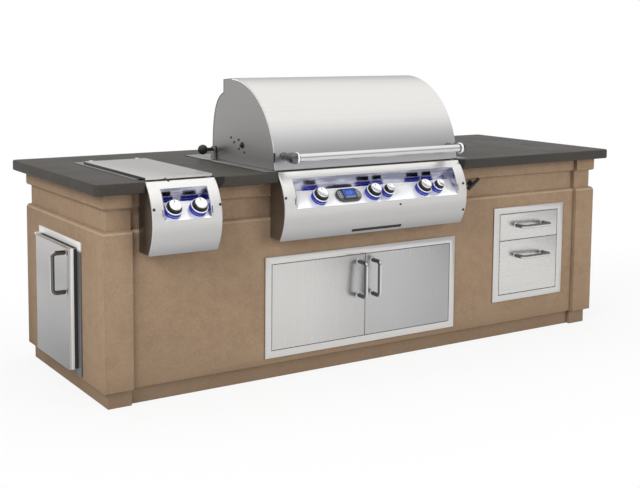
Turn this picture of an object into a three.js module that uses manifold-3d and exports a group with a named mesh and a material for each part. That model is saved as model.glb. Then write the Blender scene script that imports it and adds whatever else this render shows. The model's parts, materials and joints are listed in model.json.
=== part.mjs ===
// Outdoor kitchen island: a cast panel cabinet that carries a built-in gas grill, a side burner,
// a pair of access doors, a drawer unit, a compact refrigerator and a gas shut-off key.
// Millimetres. X runs along the front, Y from the front to the back, Z up. Everything is first laid
// out from the front left bottom corner of the cabinet, and centred on the floor at the end.
import * as THREE from 'three';
import { mergeVertices } from 'three/addons/utils/BufferGeometryUtils.js';
import Module from 'manifold-3d';

const wasm = await Module();
wasm.setup();

// Clearances
const fit = { seat: 0.3, running: 0.5, overrun: 6, panelGap: 3, weld: 0.0001 };

// Steps that a round form is divided into
const steps = { corner: 5, bend: 4, rod: 14, bar: 16, knob: 20, curve: 14, shoulder: 7, bore: 12 };

// Cabinet, cast in panels with corner posts
const body = {
  length: 2720, depth: 905, top: 868, postWidth: 125, endWall: 45, wall: 45, wallRecess: 20,
  grillPlaceShare: 0.4662,
};
const band = {
  baseHeight: 70, baseInset: 22, neckHeight: 88, aboveNeck: 63, neckInset: 18,
  bevelRun: 8, bevelRise: 12, lipRun: 12, lipRise: 6,
};
const counter = { thickness: 46, overhang: 50, cornerRadius: 22, easing: 4 };
const bulkhead = { thickness: 20, serviceHole: 120, serviceHeight: 250 };

// Curved control fascia, shared by the grill and the side burner. Each drop is below the counter's top
const fascia = {
  radius: 226.6, arcBack: 126, arcDrop: 163.3, bottomDrop: 294.3, topDrop: 3.3, sheet: 3,
  recessTopDrop: 30.3, recessBottomDrop: 155.3, plateTilt: 45, plateWidth: 91.5, plateSheet: 3,
};
const knobSize = {
  ringHeight: 14, skirtHeight: 31, skirtInset: 1.5, skirtTaper: 1, height: 48.5, capRound: 3,
  stemRadius: 5, stemDepth: 14,
  dialWidth: 4, dialDepth: 1.5,
};
const largeKnob = { capRadius: 27, ringRadius: 38 };
const smallKnob = { capRadius: 20.5, ringRadius: 29 };

// Grill, measured from its centre line and from the cabinet's front left bottom corner
const grill = {
  panelWidth: 998, recessInset: 58, sheet: 3,
  tubInset: 19, tubFront: 24, tubBack: 480, tubDrop: 259.3,
  flangeBeyondEar: 44.5, flangeFront: -30, flangeBack: 720,
  ledgeDepth: 14, deckDepth: 49, ledgeThickness: 4, burnerDrop: 183.3, heatDrop: 114.3, gridDrop: 46.3,
  earWidth: 10, earRadius: 15,
};
const burner = { width: 140, slotWidth: 56, height: 22, margin: 1 };
const heatPlate = { gap: 32, rise: 30, sheet: 2.5 };
const grid = { gap: 2, depth: 411, height: 12, border: 12, bars: 13, barShare: 0.46, margin: 1 };
const rearBurner = { sideRoom: 109, thickness: 28, height: 128, slots: 11, slotDepth: 8, border: 20,
  slotShare: 0.6 };
const rack = {
  rise: 142.4, front: 230, back: 420, legFront: 300, legBack: 350, sheet: 4, sideGap: 4.5, bars: 9,
  barShare: 0.5, border: 10,
};
const tray = {
  width: 264, height: 11.5, sheet: 1.5, floorDrop: 24, back: 330, slotSideGap: 4, slotGap: 2.5,
  railSheet: 3, railFoot: 9, railFront: 70, railBack: 400,
};
const hood = {
  inset: 1.5, sheet: 3, rearLift: 7, arcBack: 362, arcDrop: 14.3, reach: 382, rise: 396,
  crownDepth: 80, crownDrop: 8, stepDrop: 67, rearDepth: 105, rearRise: 42,
  shoulderBackShare: 0.75, shoulderDropShare: 0.09, waistDropShare: 0.42,
};
const hinge = { inset: 22, rise: 44.4, rodRadius: 8, ballRadius: 23, ballReach: 62 };
const hoodHandle = {
  standoff: 100.5, rise: 60.4, barRadius: 16.5, inset: 49.5, postRoot: 18, postFoot: 7, neckRadius: 13,
  neckAt: 26, hubRadius: 27, hubDepth: 24, hubRound: 5,
};

// Display beside the large left knob, and the lamp switch below the recess
const display = {
  placeShare: -0.1792, width: 130, height: 66, thickness: 18, screenWidth: 60, screenHeight: 42,
  screenDepth: 2,
};
const padButton = { width: 20, height: 34, thickness: 5, travel: 1.5, sideShare: 0.36 };
const lampButton = { placeShare: 0.1224, radius: 5, head: 4, belowRecess: 19, stem: 10 };
const knobPlaces = [
  { name: 'knob_1', placeShare: -0.3515, size: largeKnob },
  { name: 'knob_2', placeShare: -0.0306, size: largeKnob },
  { name: 'knob_3', placeShare: 0.059, size: smallKnob },
  { name: 'knob_4', placeShare: 0.289, size: largeKnob },
  { name: 'knob_5', placeShare: 0.3832, size: smallKnob },
];

// Side burner
const side = {
  centre: 314.5, panelWidth: 309, recessInset: 50.5, forward: 10, knobSpacing: 113, sheet: 2,
  tubInset: 15.5, tubFront: 26, tubBack: 600, tubDrop: 122.3, flangeBeyondPanel: 15.5, flangeBack: 690,
  flangeFront: 18,
  lidInset: 6.5, lidFront: 30, lidBack: 620, lidHeight: 10, lidSheet: 2, tabWidth: 44, tabReach: 6,
  burnerRadius: 46, burnerCap: 34, burnerHeight: 34, burnerStem: 18, burnerSpacing: 280, burnerMiddle: 312,
  grateGap: 6, grateBar: 8, grateDrop: 34.3, ledgeWidth: 20, ledgeThickness: 3,
  pinBack: 630, pinRadius: 3, lugWidth: 16, lugRadius: 6, lugInset: 38, earWidth: 6, earReach: 2,
};

// Access doors under the grill
const access = {
  fromGrill: 2, width: 1054, bottom: 97, belowPanel: 80, bar: 31, proud: 6, jambOffset: 14, jambDepth: 60,
  doorDepth: 22, sheet: 2, pinInset: 6, pinRadius: 2.5, pinLength: 8, blockWidth: 18, blockDepth: 15,
};
const bowHandle = { radius: 9.5, standoff: 59, bend: 16, doorSpan: 155, drawerSpan: 180, fridgeSpan: 164 };
const accessHandle = { offset: 38, heightShare: 0.6783 };

// Drawer unit, placed from the cabinet's right end
const drawers = {
  fromRight: 204, width: 469, bottom: 181, belowNeck: 67, bar: 38, rail: 31, splitShare: 0.646, proud: 6,
  depth: 450, sheet: 2,
  caseClearance: 12, frontDepth: 18, boxDepth: 410, boxSheet: 3, boxDrop: 26, boxFloor: 12,
  runnerHeight: 10, runnerWidth: 8, runnerRise: 24, upperHandleShare: 0.548, lowerHandleShare: 0.71,
};

// Refrigerator in the left end
const fridge = {
  front: 231, width: 491, bottom: 81, belowNeck: 74, proud: 6, doorFromFront: 33.5, doorFromBack: 57,
  doorInset: 28, doorThickness: 38.7, doorRound: 16,
  insideFromFront: 69, insideFromBack: 82, insideRise: 59, insideDrop: 53, wall: 30, depth: 500,
  shelfShare: 0.4889, shelfSheet: 6, shelfDepth: 400, shelfLedge: 8, shelfGap: 3, shelfBars: 9,
  shelfBarShare: 0.5,
  pinForward: 27, pinBehind: 7, pinRadius: 3, lugHeight: 6, lugReach: 7, bracketHeight: 5, bracketWidth: 20,
  handleInset: 22, handleShare: 0.8043,
};

// Gas shut-off key on the neck
const gas = {
  fromPanel: 134, aboveNeckBottom: 67, plateRadius: 15, plateThickness: 3, collarRadius: 9.5,
  collarLength: 6,
  stemRadius: 5, stemLength: 26, barRadius: 9, barLength: 83, barTilt: 35, socketDepth: 6,
};

const finish = {
  cast: new THREE.MeshStandardMaterial({ color: 0xb79c7c, roughness: 0.9, metalness: 0 }),
  stone: new THREE.MeshStandardMaterial({ color: 0x4a4541, roughness: 0.6, metalness: 0 }),
  steel: new THREE.MeshStandardMaterial({ color: 0xc6c6c4, roughness: 0.32, metalness: 1 }),
  chrome: new THREE.MeshStandardMaterial({ color: 0xe2e2e4, roughness: 0.12, metalness: 1 }),
  iron: new THREE.MeshStandardMaterial({ color: 0x2b2a29, roughness: 0.7, metalness: 0.4 }),
  black: new THREE.MeshStandardMaterial({ color: 0x151515, roughness: 0.5, metalness: 0 }),
  screen: new THREE.MeshStandardMaterial({ color: 0x3a3f45, roughness: 0.3, metalness: 0.2 }),
  board: new THREE.MeshStandardMaterial({ color: 0x9b9a94, roughness: 0.85, metalness: 0 }),
};

const island = new THREE.Group();

function place(name, geometry, material, parent = island) {
  const mesh = new THREE.Mesh(geometry, material);
  mesh.name = name;
  parent.add(mesh);
  return mesh;
}

const at = (a, b) => new THREE.Vector2(a, b);

// Closed mesh with shared corners and no empty triangles
function welded(geometry) {
  const bare = geometry.clone();
  bare.deleteAttribute('normal');
  bare.deleteAttribute('uv');
  const merged = mergeVertices(bare, fit.weld);
  const corners = Array.from(merged.index.array);
  const kept = [];
  for (let i = 0; i < corners.length; i += 3) {
    const [a, b, c] = corners.slice(i, i + 3);
    if (a !== b && b !== c && c !== a) kept.push(a, b, c);
  }
  merged.setIndex(kept);
  return merged;
}

function toSolid(geometry) {
  const merged = welded(geometry);
  return new wasm.Manifold(new wasm.Mesh({
    numProp: 3,
    vertProperties: Float32Array.from(merged.attributes.position.array),
    triVerts: Uint32Array.from(merged.index.array),
  }));
}

function toGeometry(solid) {
  const mesh = solid.getMesh();
  const geometry = new THREE.BufferGeometry();
  geometry.setAttribute('position', new THREE.BufferAttribute(Float32Array.from(mesh.vertProperties), 3));
  geometry.setIndex(Array.from(mesh.triVerts));
  const loose = geometry.toNonIndexed();
  loose.computeVertexNormals();
  return loose;
}

function join(...pieces) {
  return toGeometry(pieces.map(toSolid).reduce((sum, piece) => sum.add(piece)));
}

function cut(piece, ...tools) {
  return toGeometry(tools.map(toSolid).reduce((rest, tool) => rest.subtract(tool), toSolid(piece)));
}

function block(x0, x1, y0, y1, z0, z1) {
  const box = new THREE.BoxGeometry(x1 - x0, y1 - y0, z1 - z0);
  return box.translate((x0 + x1) / 2, (y0 + y1) / 2, (z0 + z1) / 2);
}

function extrude(outline, length) {
  return new THREE.ExtrudeGeometry(new THREE.Shape(outline), { depth: length, bevelEnabled: false });
}

// Outline in y and z, pushed along x
function alongX(outline, x0, x1) {
  const turn = new THREE.Matrix4().set(0, 0, 1, x0, 1, 0, 0, 0, 0, 1, 0, 0, 0, 0, 0, 1);
  return extrude(outline, x1 - x0).applyMatrix4(turn);
}

// Outline in x and z, pushed along y
function alongY(outline, y0, y1) {
  const turn = new THREE.Matrix4().set(1, 0, 0, 0, 0, 0, -1, y1, 0, 1, 0, 0, 0, 0, 0, 1);
  return extrude(outline, y1 - y0).applyMatrix4(turn);
}

// Outline in x and y, pushed along z
function alongZ(outline, z0, z1) {
  return extrude(outline, z1 - z0).translate(0, 0, z0);
}

function rod(radius, from, to, sides = steps.rod, tipRadius = radius) {
  const axis = to.clone().sub(from);
  const cylinder = new THREE.CylinderGeometry(tipRadius, radius, axis.length(), sides);
  const turn = new THREE.Quaternion().setFromUnitVectors(new THREE.Vector3(0, 1, 0),
    axis.clone().normalize());
  const middle = from.clone().add(to).divideScalar(2);
  return cylinder.applyQuaternion(turn).translate(middle.x, middle.y, middle.z);
}

const point = (x, y, z) => new THREE.Vector3(x, y, z);

// Rectangle with round corners, anticlockwise
function roundedOutline(x0, x1, y0, y1, radius, cornerSteps = steps.corner) {
  const centres = [[x1 - radius, y1 - radius], [x0 + radius, y1 - radius], [x0 + radius, y0 + radius],
    [x1 - radius, y0 + radius]];
  return centres.flatMap(([cx, cy], quarter) => Array.from({ length: cornerSteps + 1 }, (_, i) => {
    const angle = (quarter + i / cornerSteps) * Math.PI / 2;
    return at(cx + radius * Math.cos(angle), cy + radius * Math.sin(angle));
  }));
}

const anticlockwise = (a, b, c) => (b.x - a.x) * (c.y - a.y) - (b.y - a.y) * (c.x - a.x) > 0;

// Solid through level rings of equal count, each anticlockwise seen from above, from the bottom up
function loft(rings) {
  const count = rings[0].points.length;
  const corners = rings.flatMap(({ points, z }) => points.flatMap((p) => [p.x, p.y, z]));
  const index = [];
  for (let r = 0; r < rings.length - 1; r += 1) {
    for (let i = 0; i < count; i += 1) {
      const j = (i + 1) % count;
      const [a, b, c, d] = [r * count + i, r * count + j, (r + 1) * count + j, (r + 1) * count + i];
      index.push(a, b, c, a, c, d);
    }
  }
  const caps = [{ ring: rings[0].points, first: 0, up: false },
    { ring: rings.at(-1).points, first: (rings.length - 1) * count, up: true }];
  for (const { ring, first, up } of caps) {
    for (const [i, j, k] of THREE.ShapeUtils.triangulateShape(ring, [])) {
      const keep = anticlockwise(ring[i], ring[j], ring[k]) === up;
      index.push(first + i, first + (keep ? j : k), first + (keep ? k : j));
    }
  }
  const geometry = new THREE.BufferGeometry();
  geometry.setAttribute('position', new THREE.Float32BufferAttribute(corners, 3));
  geometry.setIndex(index);
  return geometry;
}

// Route with round bends whose stations lie where the shape needs them
class BentRoute extends THREE.Curve {
  constructor(corners, bend) {
    super();
    const stations = [corners[0]];
    for (let i = 1; i < corners.length - 1; i += 1) {
      const start = corners[i].clone().lerp(corners[i - 1], bend / corners[i].distanceTo(corners[i - 1]));
      const end = corners[i].clone().lerp(corners[i + 1], bend / corners[i].distanceTo(corners[i + 1]));
      const arc = new THREE.QuadraticBezierCurve3(start, corners[i], end);
      stations.push(...arc.getPoints(steps.bend));
    }
    stations.push(corners.at(-1));
    this.stations = stations;
  }

  getPoint(t) {
    const last = this.stations.length - 1;
    const i = Math.min(Math.floor(t * last), last - 1);
    return this.stations[i].clone().lerp(this.stations[i + 1], t * last - i);
  }

  getPointAt(t) {
    return this.getPoint(t);
  }

  getTangentAt(t) {
    const last = this.stations.length - 1;
    const i = Math.round(t * last);
    const before = this.stations[Math.max(i - 1, 0)];
    const after = this.stations[Math.min(i + 1, last)];
    return after.clone().sub(before).normalize();
  }
}

function bentBar(corners, bend, radius, sides = steps.rod) {
  const route = new BentRoute(corners, bend);
  const section = Array.from({ length: sides }, (_, i) => {
    const angle = (i / sides) * 2 * Math.PI;
    return at(radius * Math.cos(angle), radius * Math.sin(angle));
  });
  return new THREE.ExtrudeGeometry(new THREE.Shape(section), {
    steps: route.stations.length - 1, extrudePath: route, bevelEnabled: false,
  });
}

// Bars and slots of a flat grate: tools that cut count slots across x0 to x1
function slots(x0, x1, y0, y1, z0, z1, count, barShare) {
  const pitch = (x1 - x0) / (count + (count - 1) * barShare / (1 - barShare));
  const bar = pitch * barShare / (1 - barShare);
  return Array.from({ length: count }, (_, i) => {
    const left = x0 + i * (pitch + bar);
    return block(left, left + pitch, y0, y1, z0, z1);
  });
}

const counterBottom = body.top + fit.seat;
const counterTop = counterBottom + counter.thickness;
const post = body.wallRecess + body.wall;

// Levels and places that follow from the counter's top and from the neck band under it
const neck = {
  top: body.top - band.aboveNeck,
  bottom: body.top - band.aboveNeck - band.neckHeight,
};
const panel = {
  arc: counterTop - fascia.arcDrop,
  bottom: counterTop - fascia.bottomDrop,
  top: counterTop - fascia.topDrop,
  recessTop: counterTop - fascia.recessTopDrop,
  recessBottom: counterTop - fascia.recessBottomDrop,
};
const lampHeight = panel.recessBottom - lampButton.belowRecess;
const grillFlange = counterTop + fit.seat + grill.sheet;
const grillLevel = {
  floor: counterTop - grill.tubDrop,
  burner: counterTop - grill.burnerDrop,
  heat: counterTop - grill.heatDrop,
  grid: counterTop - grill.gridDrop,
};
const trayFloor = grillLevel.floor - tray.floorDrop;
const trayTop = trayFloor + tray.height + tray.slotGap;
const trayHalfSlot = tray.width / 2 + tray.slotSideGap;
grillLevel.railBottom = trayFloor - fit.seat - tray.railSheet;
const rackLevel = grillFlange + rack.rise;
const hoodAt = {
  bottom: grillFlange + fit.seat,
  arc: counterTop - hood.arcDrop,
  crownTop: counterTop - hood.arcDrop + hood.rise - hood.crownDrop,
  step: counterTop - hood.arcDrop + hood.rise - hood.stepDrop,
  rearWaist: grillFlange + fit.seat + hood.rearRise,
  crownBack: hood.arcBack + hood.crownDepth,
  rearBack: hood.arcBack + hood.crownDepth + hood.rearDepth,
};
const hingeAt = { back: hoodAt.rearBack - hinge.inset, height: grillFlange + hinge.rise };
const handleHeight = grillFlange + hoodHandle.rise;
const sideLevel = { floor: counterTop - side.tubDrop, grate: counterTop - side.grateDrop };

// Cabinet panels: one band profile of insets and heights runs round posts and walls alike
const bandProfile = [
  [band.baseInset, 0],
  [band.baseInset, band.baseHeight],
  [0, band.baseHeight],
  [0, neck.bottom - band.bevelRise],
  [band.bevelRun, neck.bottom],
  [band.neckInset, neck.bottom],
  [band.neckInset, neck.top],
  [band.neckInset - band.lipRun, neck.top],
  [0, neck.top + band.lipRise],
  [0, body.top],
];

const panelThrough = (plan) => loft(bandProfile.map(([inset, z]) => ({ points: plan(inset), z })));

function leftEndPlan(inset) {
  const { depth, postWidth, endWall } = body;
  return [
    at(inset, inset), at(postWidth, inset), at(postWidth, post), at(endWall, post),
    at(endWall, depth - post), at(postWidth, depth - post), at(postWidth, depth - inset),
    at(inset, depth - inset),
  ];
}

const rightEndPlan = (inset) => leftEndPlan(inset).map((p) => at(body.length - p.x, p.y)).reverse();

function wallPlan(inset) {
  const reach = body.postWidth + fit.seat;
  const face = body.wallRecess + inset;
  return [at(reach, face), at(body.length - reach, face), at(body.length - reach, post), at(reach, post)];
}

const backWallPlan = (inset) => wallPlan(inset).map((p) => at(p.x, body.depth - p.y)).reverse();

const grillCentre = body.length * body.grillPlaceShare;
const grillRecess = grill.panelWidth - grill.recessInset * 2;
const hoodWidth = grill.panelWidth - hood.inset * 2;
const storageCentre = grillCentre + access.fromGrill;
const storage = {
  left: storageCentre - access.width / 2,
  right: storageCentre + access.width / 2,
  top: panel.bottom - access.belowPanel,
};
const drawerRight = body.length - drawers.fromRight;
const drawerLeft = drawerRight - drawers.width;
const drawerTop = neck.bottom - drawers.belowNeck;
const drawerSplit = drawers.bottom + (drawerTop - drawers.bottom) * drawers.splitShare;
const jamb = access.bar - access.jambOffset;
const drawerCase = {
  left: drawerLeft + drawers.bar - drawers.caseClearance,
  right: drawerRight - drawers.bar + drawers.caseClearance,
  bottom: drawers.bottom + drawers.rail - drawers.caseClearance,
  top: drawerTop - drawers.rail + drawers.caseClearance,
};
const tub = {
  left: grillCentre - grill.panelWidth / 2 + grill.tubInset,
  right: grillCentre + grill.panelWidth / 2 - grill.tubInset,
};
const sideTub = {
  left: side.centre - side.panelWidth / 2 + side.tubInset,
  right: side.centre + side.panelWidth / 2 - side.tubInset,
};

const fridgeTop = neck.bottom - fridge.belowNeck;
const fridgeAt = {
  back: fridge.front + fridge.width,
  top: fridgeTop,
  doorFront: fridge.front + fridge.doorFromFront,
  doorBack: fridge.front + fridge.width - fridge.doorFromBack,
  doorBottom: fridge.bottom + fridge.doorInset,
  doorTop: fridgeTop - fridge.doorInset,
  insideFront: fridge.front + fridge.insideFromFront,
  insideBack: fridge.front + fridge.width - fridge.insideFromBack,
  insideBottom: fridge.bottom + fridge.insideRise,
  insideTop: fridgeTop - fridge.insideDrop,
};
fridgeAt.shelf = fridgeAt.insideBottom + (fridgeAt.insideTop - fridgeAt.insideBottom) * fridge.shelfShare;
fridgeAt.handle = fridgeAt.doorBottom + (fridgeAt.doorTop - fridgeAt.doorBottom) * fridge.handleShare;

function buildCabinet() {
  const through = fit.overrun;
  place('left_end_panel', cut(
    panelThrough(leftEndPlan),
    block(-through, body.endWall + through, fridgeAt.insideFront - fridge.wall - fit.seat,
      fridgeAt.insideBack + fridge.wall + fit.seat,
      fridgeAt.insideBottom - fridge.wall - fit.seat, fridgeAt.insideTop + fridge.wall + fit.seat),
  ), finish.cast);
  place('right_end_panel', toGeometry(toSolid(panelThrough(rightEndPlan))), finish.cast);
  place('front_wall', cut(
    panelThrough(wallPlan),
    block(tub.left - fit.panelGap, tub.right + fit.panelGap, -through, post + through,
      grillLevel.railBottom - tray.slotGap, body.top + through),
    block(sideTub.left - fit.panelGap, sideTub.right + fit.panelGap, -through, post + through,
      sideLevel.floor - fit.panelGap, body.top + through),
    block(storage.left + jamb - fit.seat, storage.right - jamb + fit.seat, -through, post + through,
      access.bottom + jamb - fit.seat, storage.top - jamb + fit.seat),
    block(drawerCase.left - fit.seat, drawerCase.right + fit.seat, -through, post + through,
      drawerCase.bottom - fit.seat, drawerCase.top + fit.seat),
  ), finish.cast);
  place('back_wall', toGeometry(toSolid(panelThrough(backWallPlan))), finish.cast);

  const counterRing = (inset) => roundedOutline(
    -counter.overhang + inset, body.length + counter.overhang - inset,
    -counter.overhang + inset, body.depth + counter.overhang - inset, counter.cornerRadius - inset,
  );
  const slab = loft([
    { points: counterRing(counter.easing), z: counterBottom },
    { points: counterRing(0), z: counterBottom + counter.easing },
    { points: counterRing(0), z: counterTop - counter.easing },
    { points: counterRing(counter.easing), z: counterTop },
  ]);
  const notch = (centre, width, back) => block(
    centre - width / 2 - fit.panelGap / 2, centre + width / 2 + fit.panelGap / 2,
    -counter.overhang - through, back + fit.panelGap, counterBottom - through, counterTop + through,
  );
  place('countertop', cut(
    slab,
    notch(grillCentre, grill.panelWidth, grill.tubBack),
    notch(side.centre, side.panelWidth, side.tubBack),
  ), finish.stone);

  const bulkheadTop = counterBottom - fit.seat;
  const partition = (middle) => cut(
    block(middle - bulkhead.thickness / 2, middle + bulkhead.thickness / 2, post + fit.seat,
      body.depth - post - fit.seat, 0, bulkheadTop),
    rod(bulkhead.serviceHole / 2, point(middle - bulkhead.thickness, body.depth / 2,
      bulkhead.serviceHeight),
      point(middle + bulkhead.thickness, body.depth / 2, bulkhead.serviceHeight)),
  );
  place('left_bulkhead', partition((fridge.depth + storage.left) / 2), finish.board);
  place('right_bulkhead', partition((storage.right + drawerCase.left) / 2), finish.board);
}

// Fascia profile: the bulging front as an arc from the bottom to the top edge
function fasciaArc(inset, forward) {
  const radius = fascia.radius - inset;
  const low = Math.asin((panel.bottom + inset - panel.arc) / radius);
  const high = Math.asin((panel.top - inset - panel.arc) / radius);
  return Array.from({ length: steps.curve + 1 }, (_, i) => {
    const angle = high + (low - high) * i / steps.curve;
    return at(fascia.arcBack - forward - radius * Math.cos(angle), panel.arc + radius * Math.sin(angle));
  });
}

const arcFront = (z, forward) =>
  fascia.arcBack - forward - Math.sqrt(fascia.radius ** 2 - (z - panel.arc) ** 2);

function fasciaShell(centre, width, forward) {
  const back = body.wallRecess - fit.seat;
  const [x0, x1] = [centre - width / 2, centre + width / 2];
  const outer = [...fasciaArc(0, forward), at(back, panel.bottom), at(back, panel.top)];
  const hollowBack = back + fit.overrun;
  const inner = [
    ...fasciaArc(fascia.sheet, forward),
    at(hollowBack, panel.bottom + fascia.sheet), at(hollowBack, panel.top - fascia.sheet),
  ];
  return cut(alongX(outer, x0, x1), alongX(inner, x0 + fascia.sheet, x1 - fascia.sheet));
}

// Corners of the recess in the fascia: its lower edge, the crease and its upper edge
function recessCorners(forward) {
  const tilt = THREE.MathUtils.degToRad(fascia.plateTilt);
  const bottom = at(arcFront(panel.recessBottom, forward), panel.recessBottom);
  const crease = at(bottom.x + fascia.plateWidth * Math.sin(tilt),
    bottom.y + fascia.plateWidth * Math.cos(tilt));
  const top = at(arcFront(panel.recessTop, forward), panel.recessTop);
  return { bottom, crease, top };
}

function recessHole(centre, width, forward) {
  const { bottom, top } = recessCorners(forward);
  return block(centre - width / 2, centre + width / 2, bottom.x - fit.overrun * 2,
    bottom.x + fascia.plateWidth, bottom.y, top.y);
}

// Frame whose z axis stands on the knob plate and whose y axis climbs it
function plateFrame(centre, forward) {
  const { bottom, crease } = recessCorners(forward);
  const frame = new THREE.Group();
  frame.position.set(centre, (bottom.x + crease.x) / 2, (bottom.y + crease.y) / 2);
  frame.rotation.x = Math.PI / 2 - THREE.MathUtils.degToRad(fascia.plateTilt);
  frame.updateMatrixWorld(true);
  return frame;
}

// Recessed bezel with closed ends and a raised ring round each knob
function bezel(centre, width, forward, knobs, frame) {
  const { bottom, crease, top } = recessCorners(forward);
  const clear = fit.seat;
  const sheet = fascia.plateSheet;
  const lower = at(bottom.x, bottom.y + clear);
  const upper = at(top.x, top.y - clear);
  const [x0, x1] = [centre - width / 2 + clear, centre + width / 2 - clear];
  const behind = (p) => at(p.x + sheet, p.y);
  const fold = alongX([lower, crease, upper, behind(upper), at(crease.x + sheet, crease.y - sheet / 2),
    behind(lower)].reverse(), x0, x1);
  const cheekOutline = [lower, behind(lower), at(crease.x + sheet, crease.y - sheet / 2), behind(upper),
    upper, ...cheekArc(forward, lower.y, upper.y)];
  const cheeks = [[x0, x0 + sheet], [x1 - sheet, x1]].map(([a, b]) => alongX(cheekOutline, a, b));
  const onPlate = (geometry) => geometry.applyMatrix4(frame.matrixWorld);
  const ring = ({ offset, size }) => onPlate(rod(size.ringRadius, point(offset, 0, -sheet / 2),
    point(offset, 0, knobSize.ringHeight), steps.knob));
  const bore = ({ offset }) => onPlate(rod(knobSize.stemRadius + fit.running,
    point(offset, 0, -knobSize.stemDepth - fit.overrun),
    point(offset, 0, knobSize.ringHeight + fit.overrun), steps.bore));
  return cut(join(fold, ...cheeks, ...knobs.map(ring)), ...knobs.map(bore));
}

function cheekArc(forward, low, high) {
  return Array.from({ length: steps.corner }, (_, i) => {
    const z = high + (low - high) * (i + 1) / (steps.corner + 1);
    return at(arcFront(z, forward), z);
  });
}

// Knob with a wide skirt over the ring, a round-edged cap and a stem, turned about z
function knob(size) {
  const base = knobSize.ringHeight + fit.seat;
  const { stemRadius, stemDepth, skirtHeight, skirtInset, skirtTaper, height, capRound } = knobSize;
  const skirt = size.ringRadius - skirtInset;
  const profile = [
    at(0, -stemDepth), at(stemRadius, -stemDepth), at(stemRadius, base), at(skirt, base),
    at(skirt - skirtTaper, skirtHeight), at(size.capRadius, skirtHeight),
    at(size.capRadius, height - capRound),
    at(size.capRadius - capRound, height), at(0, height),
  ];
  const turned = new THREE.LatheGeometry(profile, steps.knob).rotateX(Math.PI / 2);
  const mark = block(-knobSize.dialWidth / 2, knobSize.dialWidth / 2, size.capRadius / 2,
    size.capRadius + fit.overrun,
    height - knobSize.dialDepth, height + fit.overrun);
  return cut(turned, mark);
}

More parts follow.
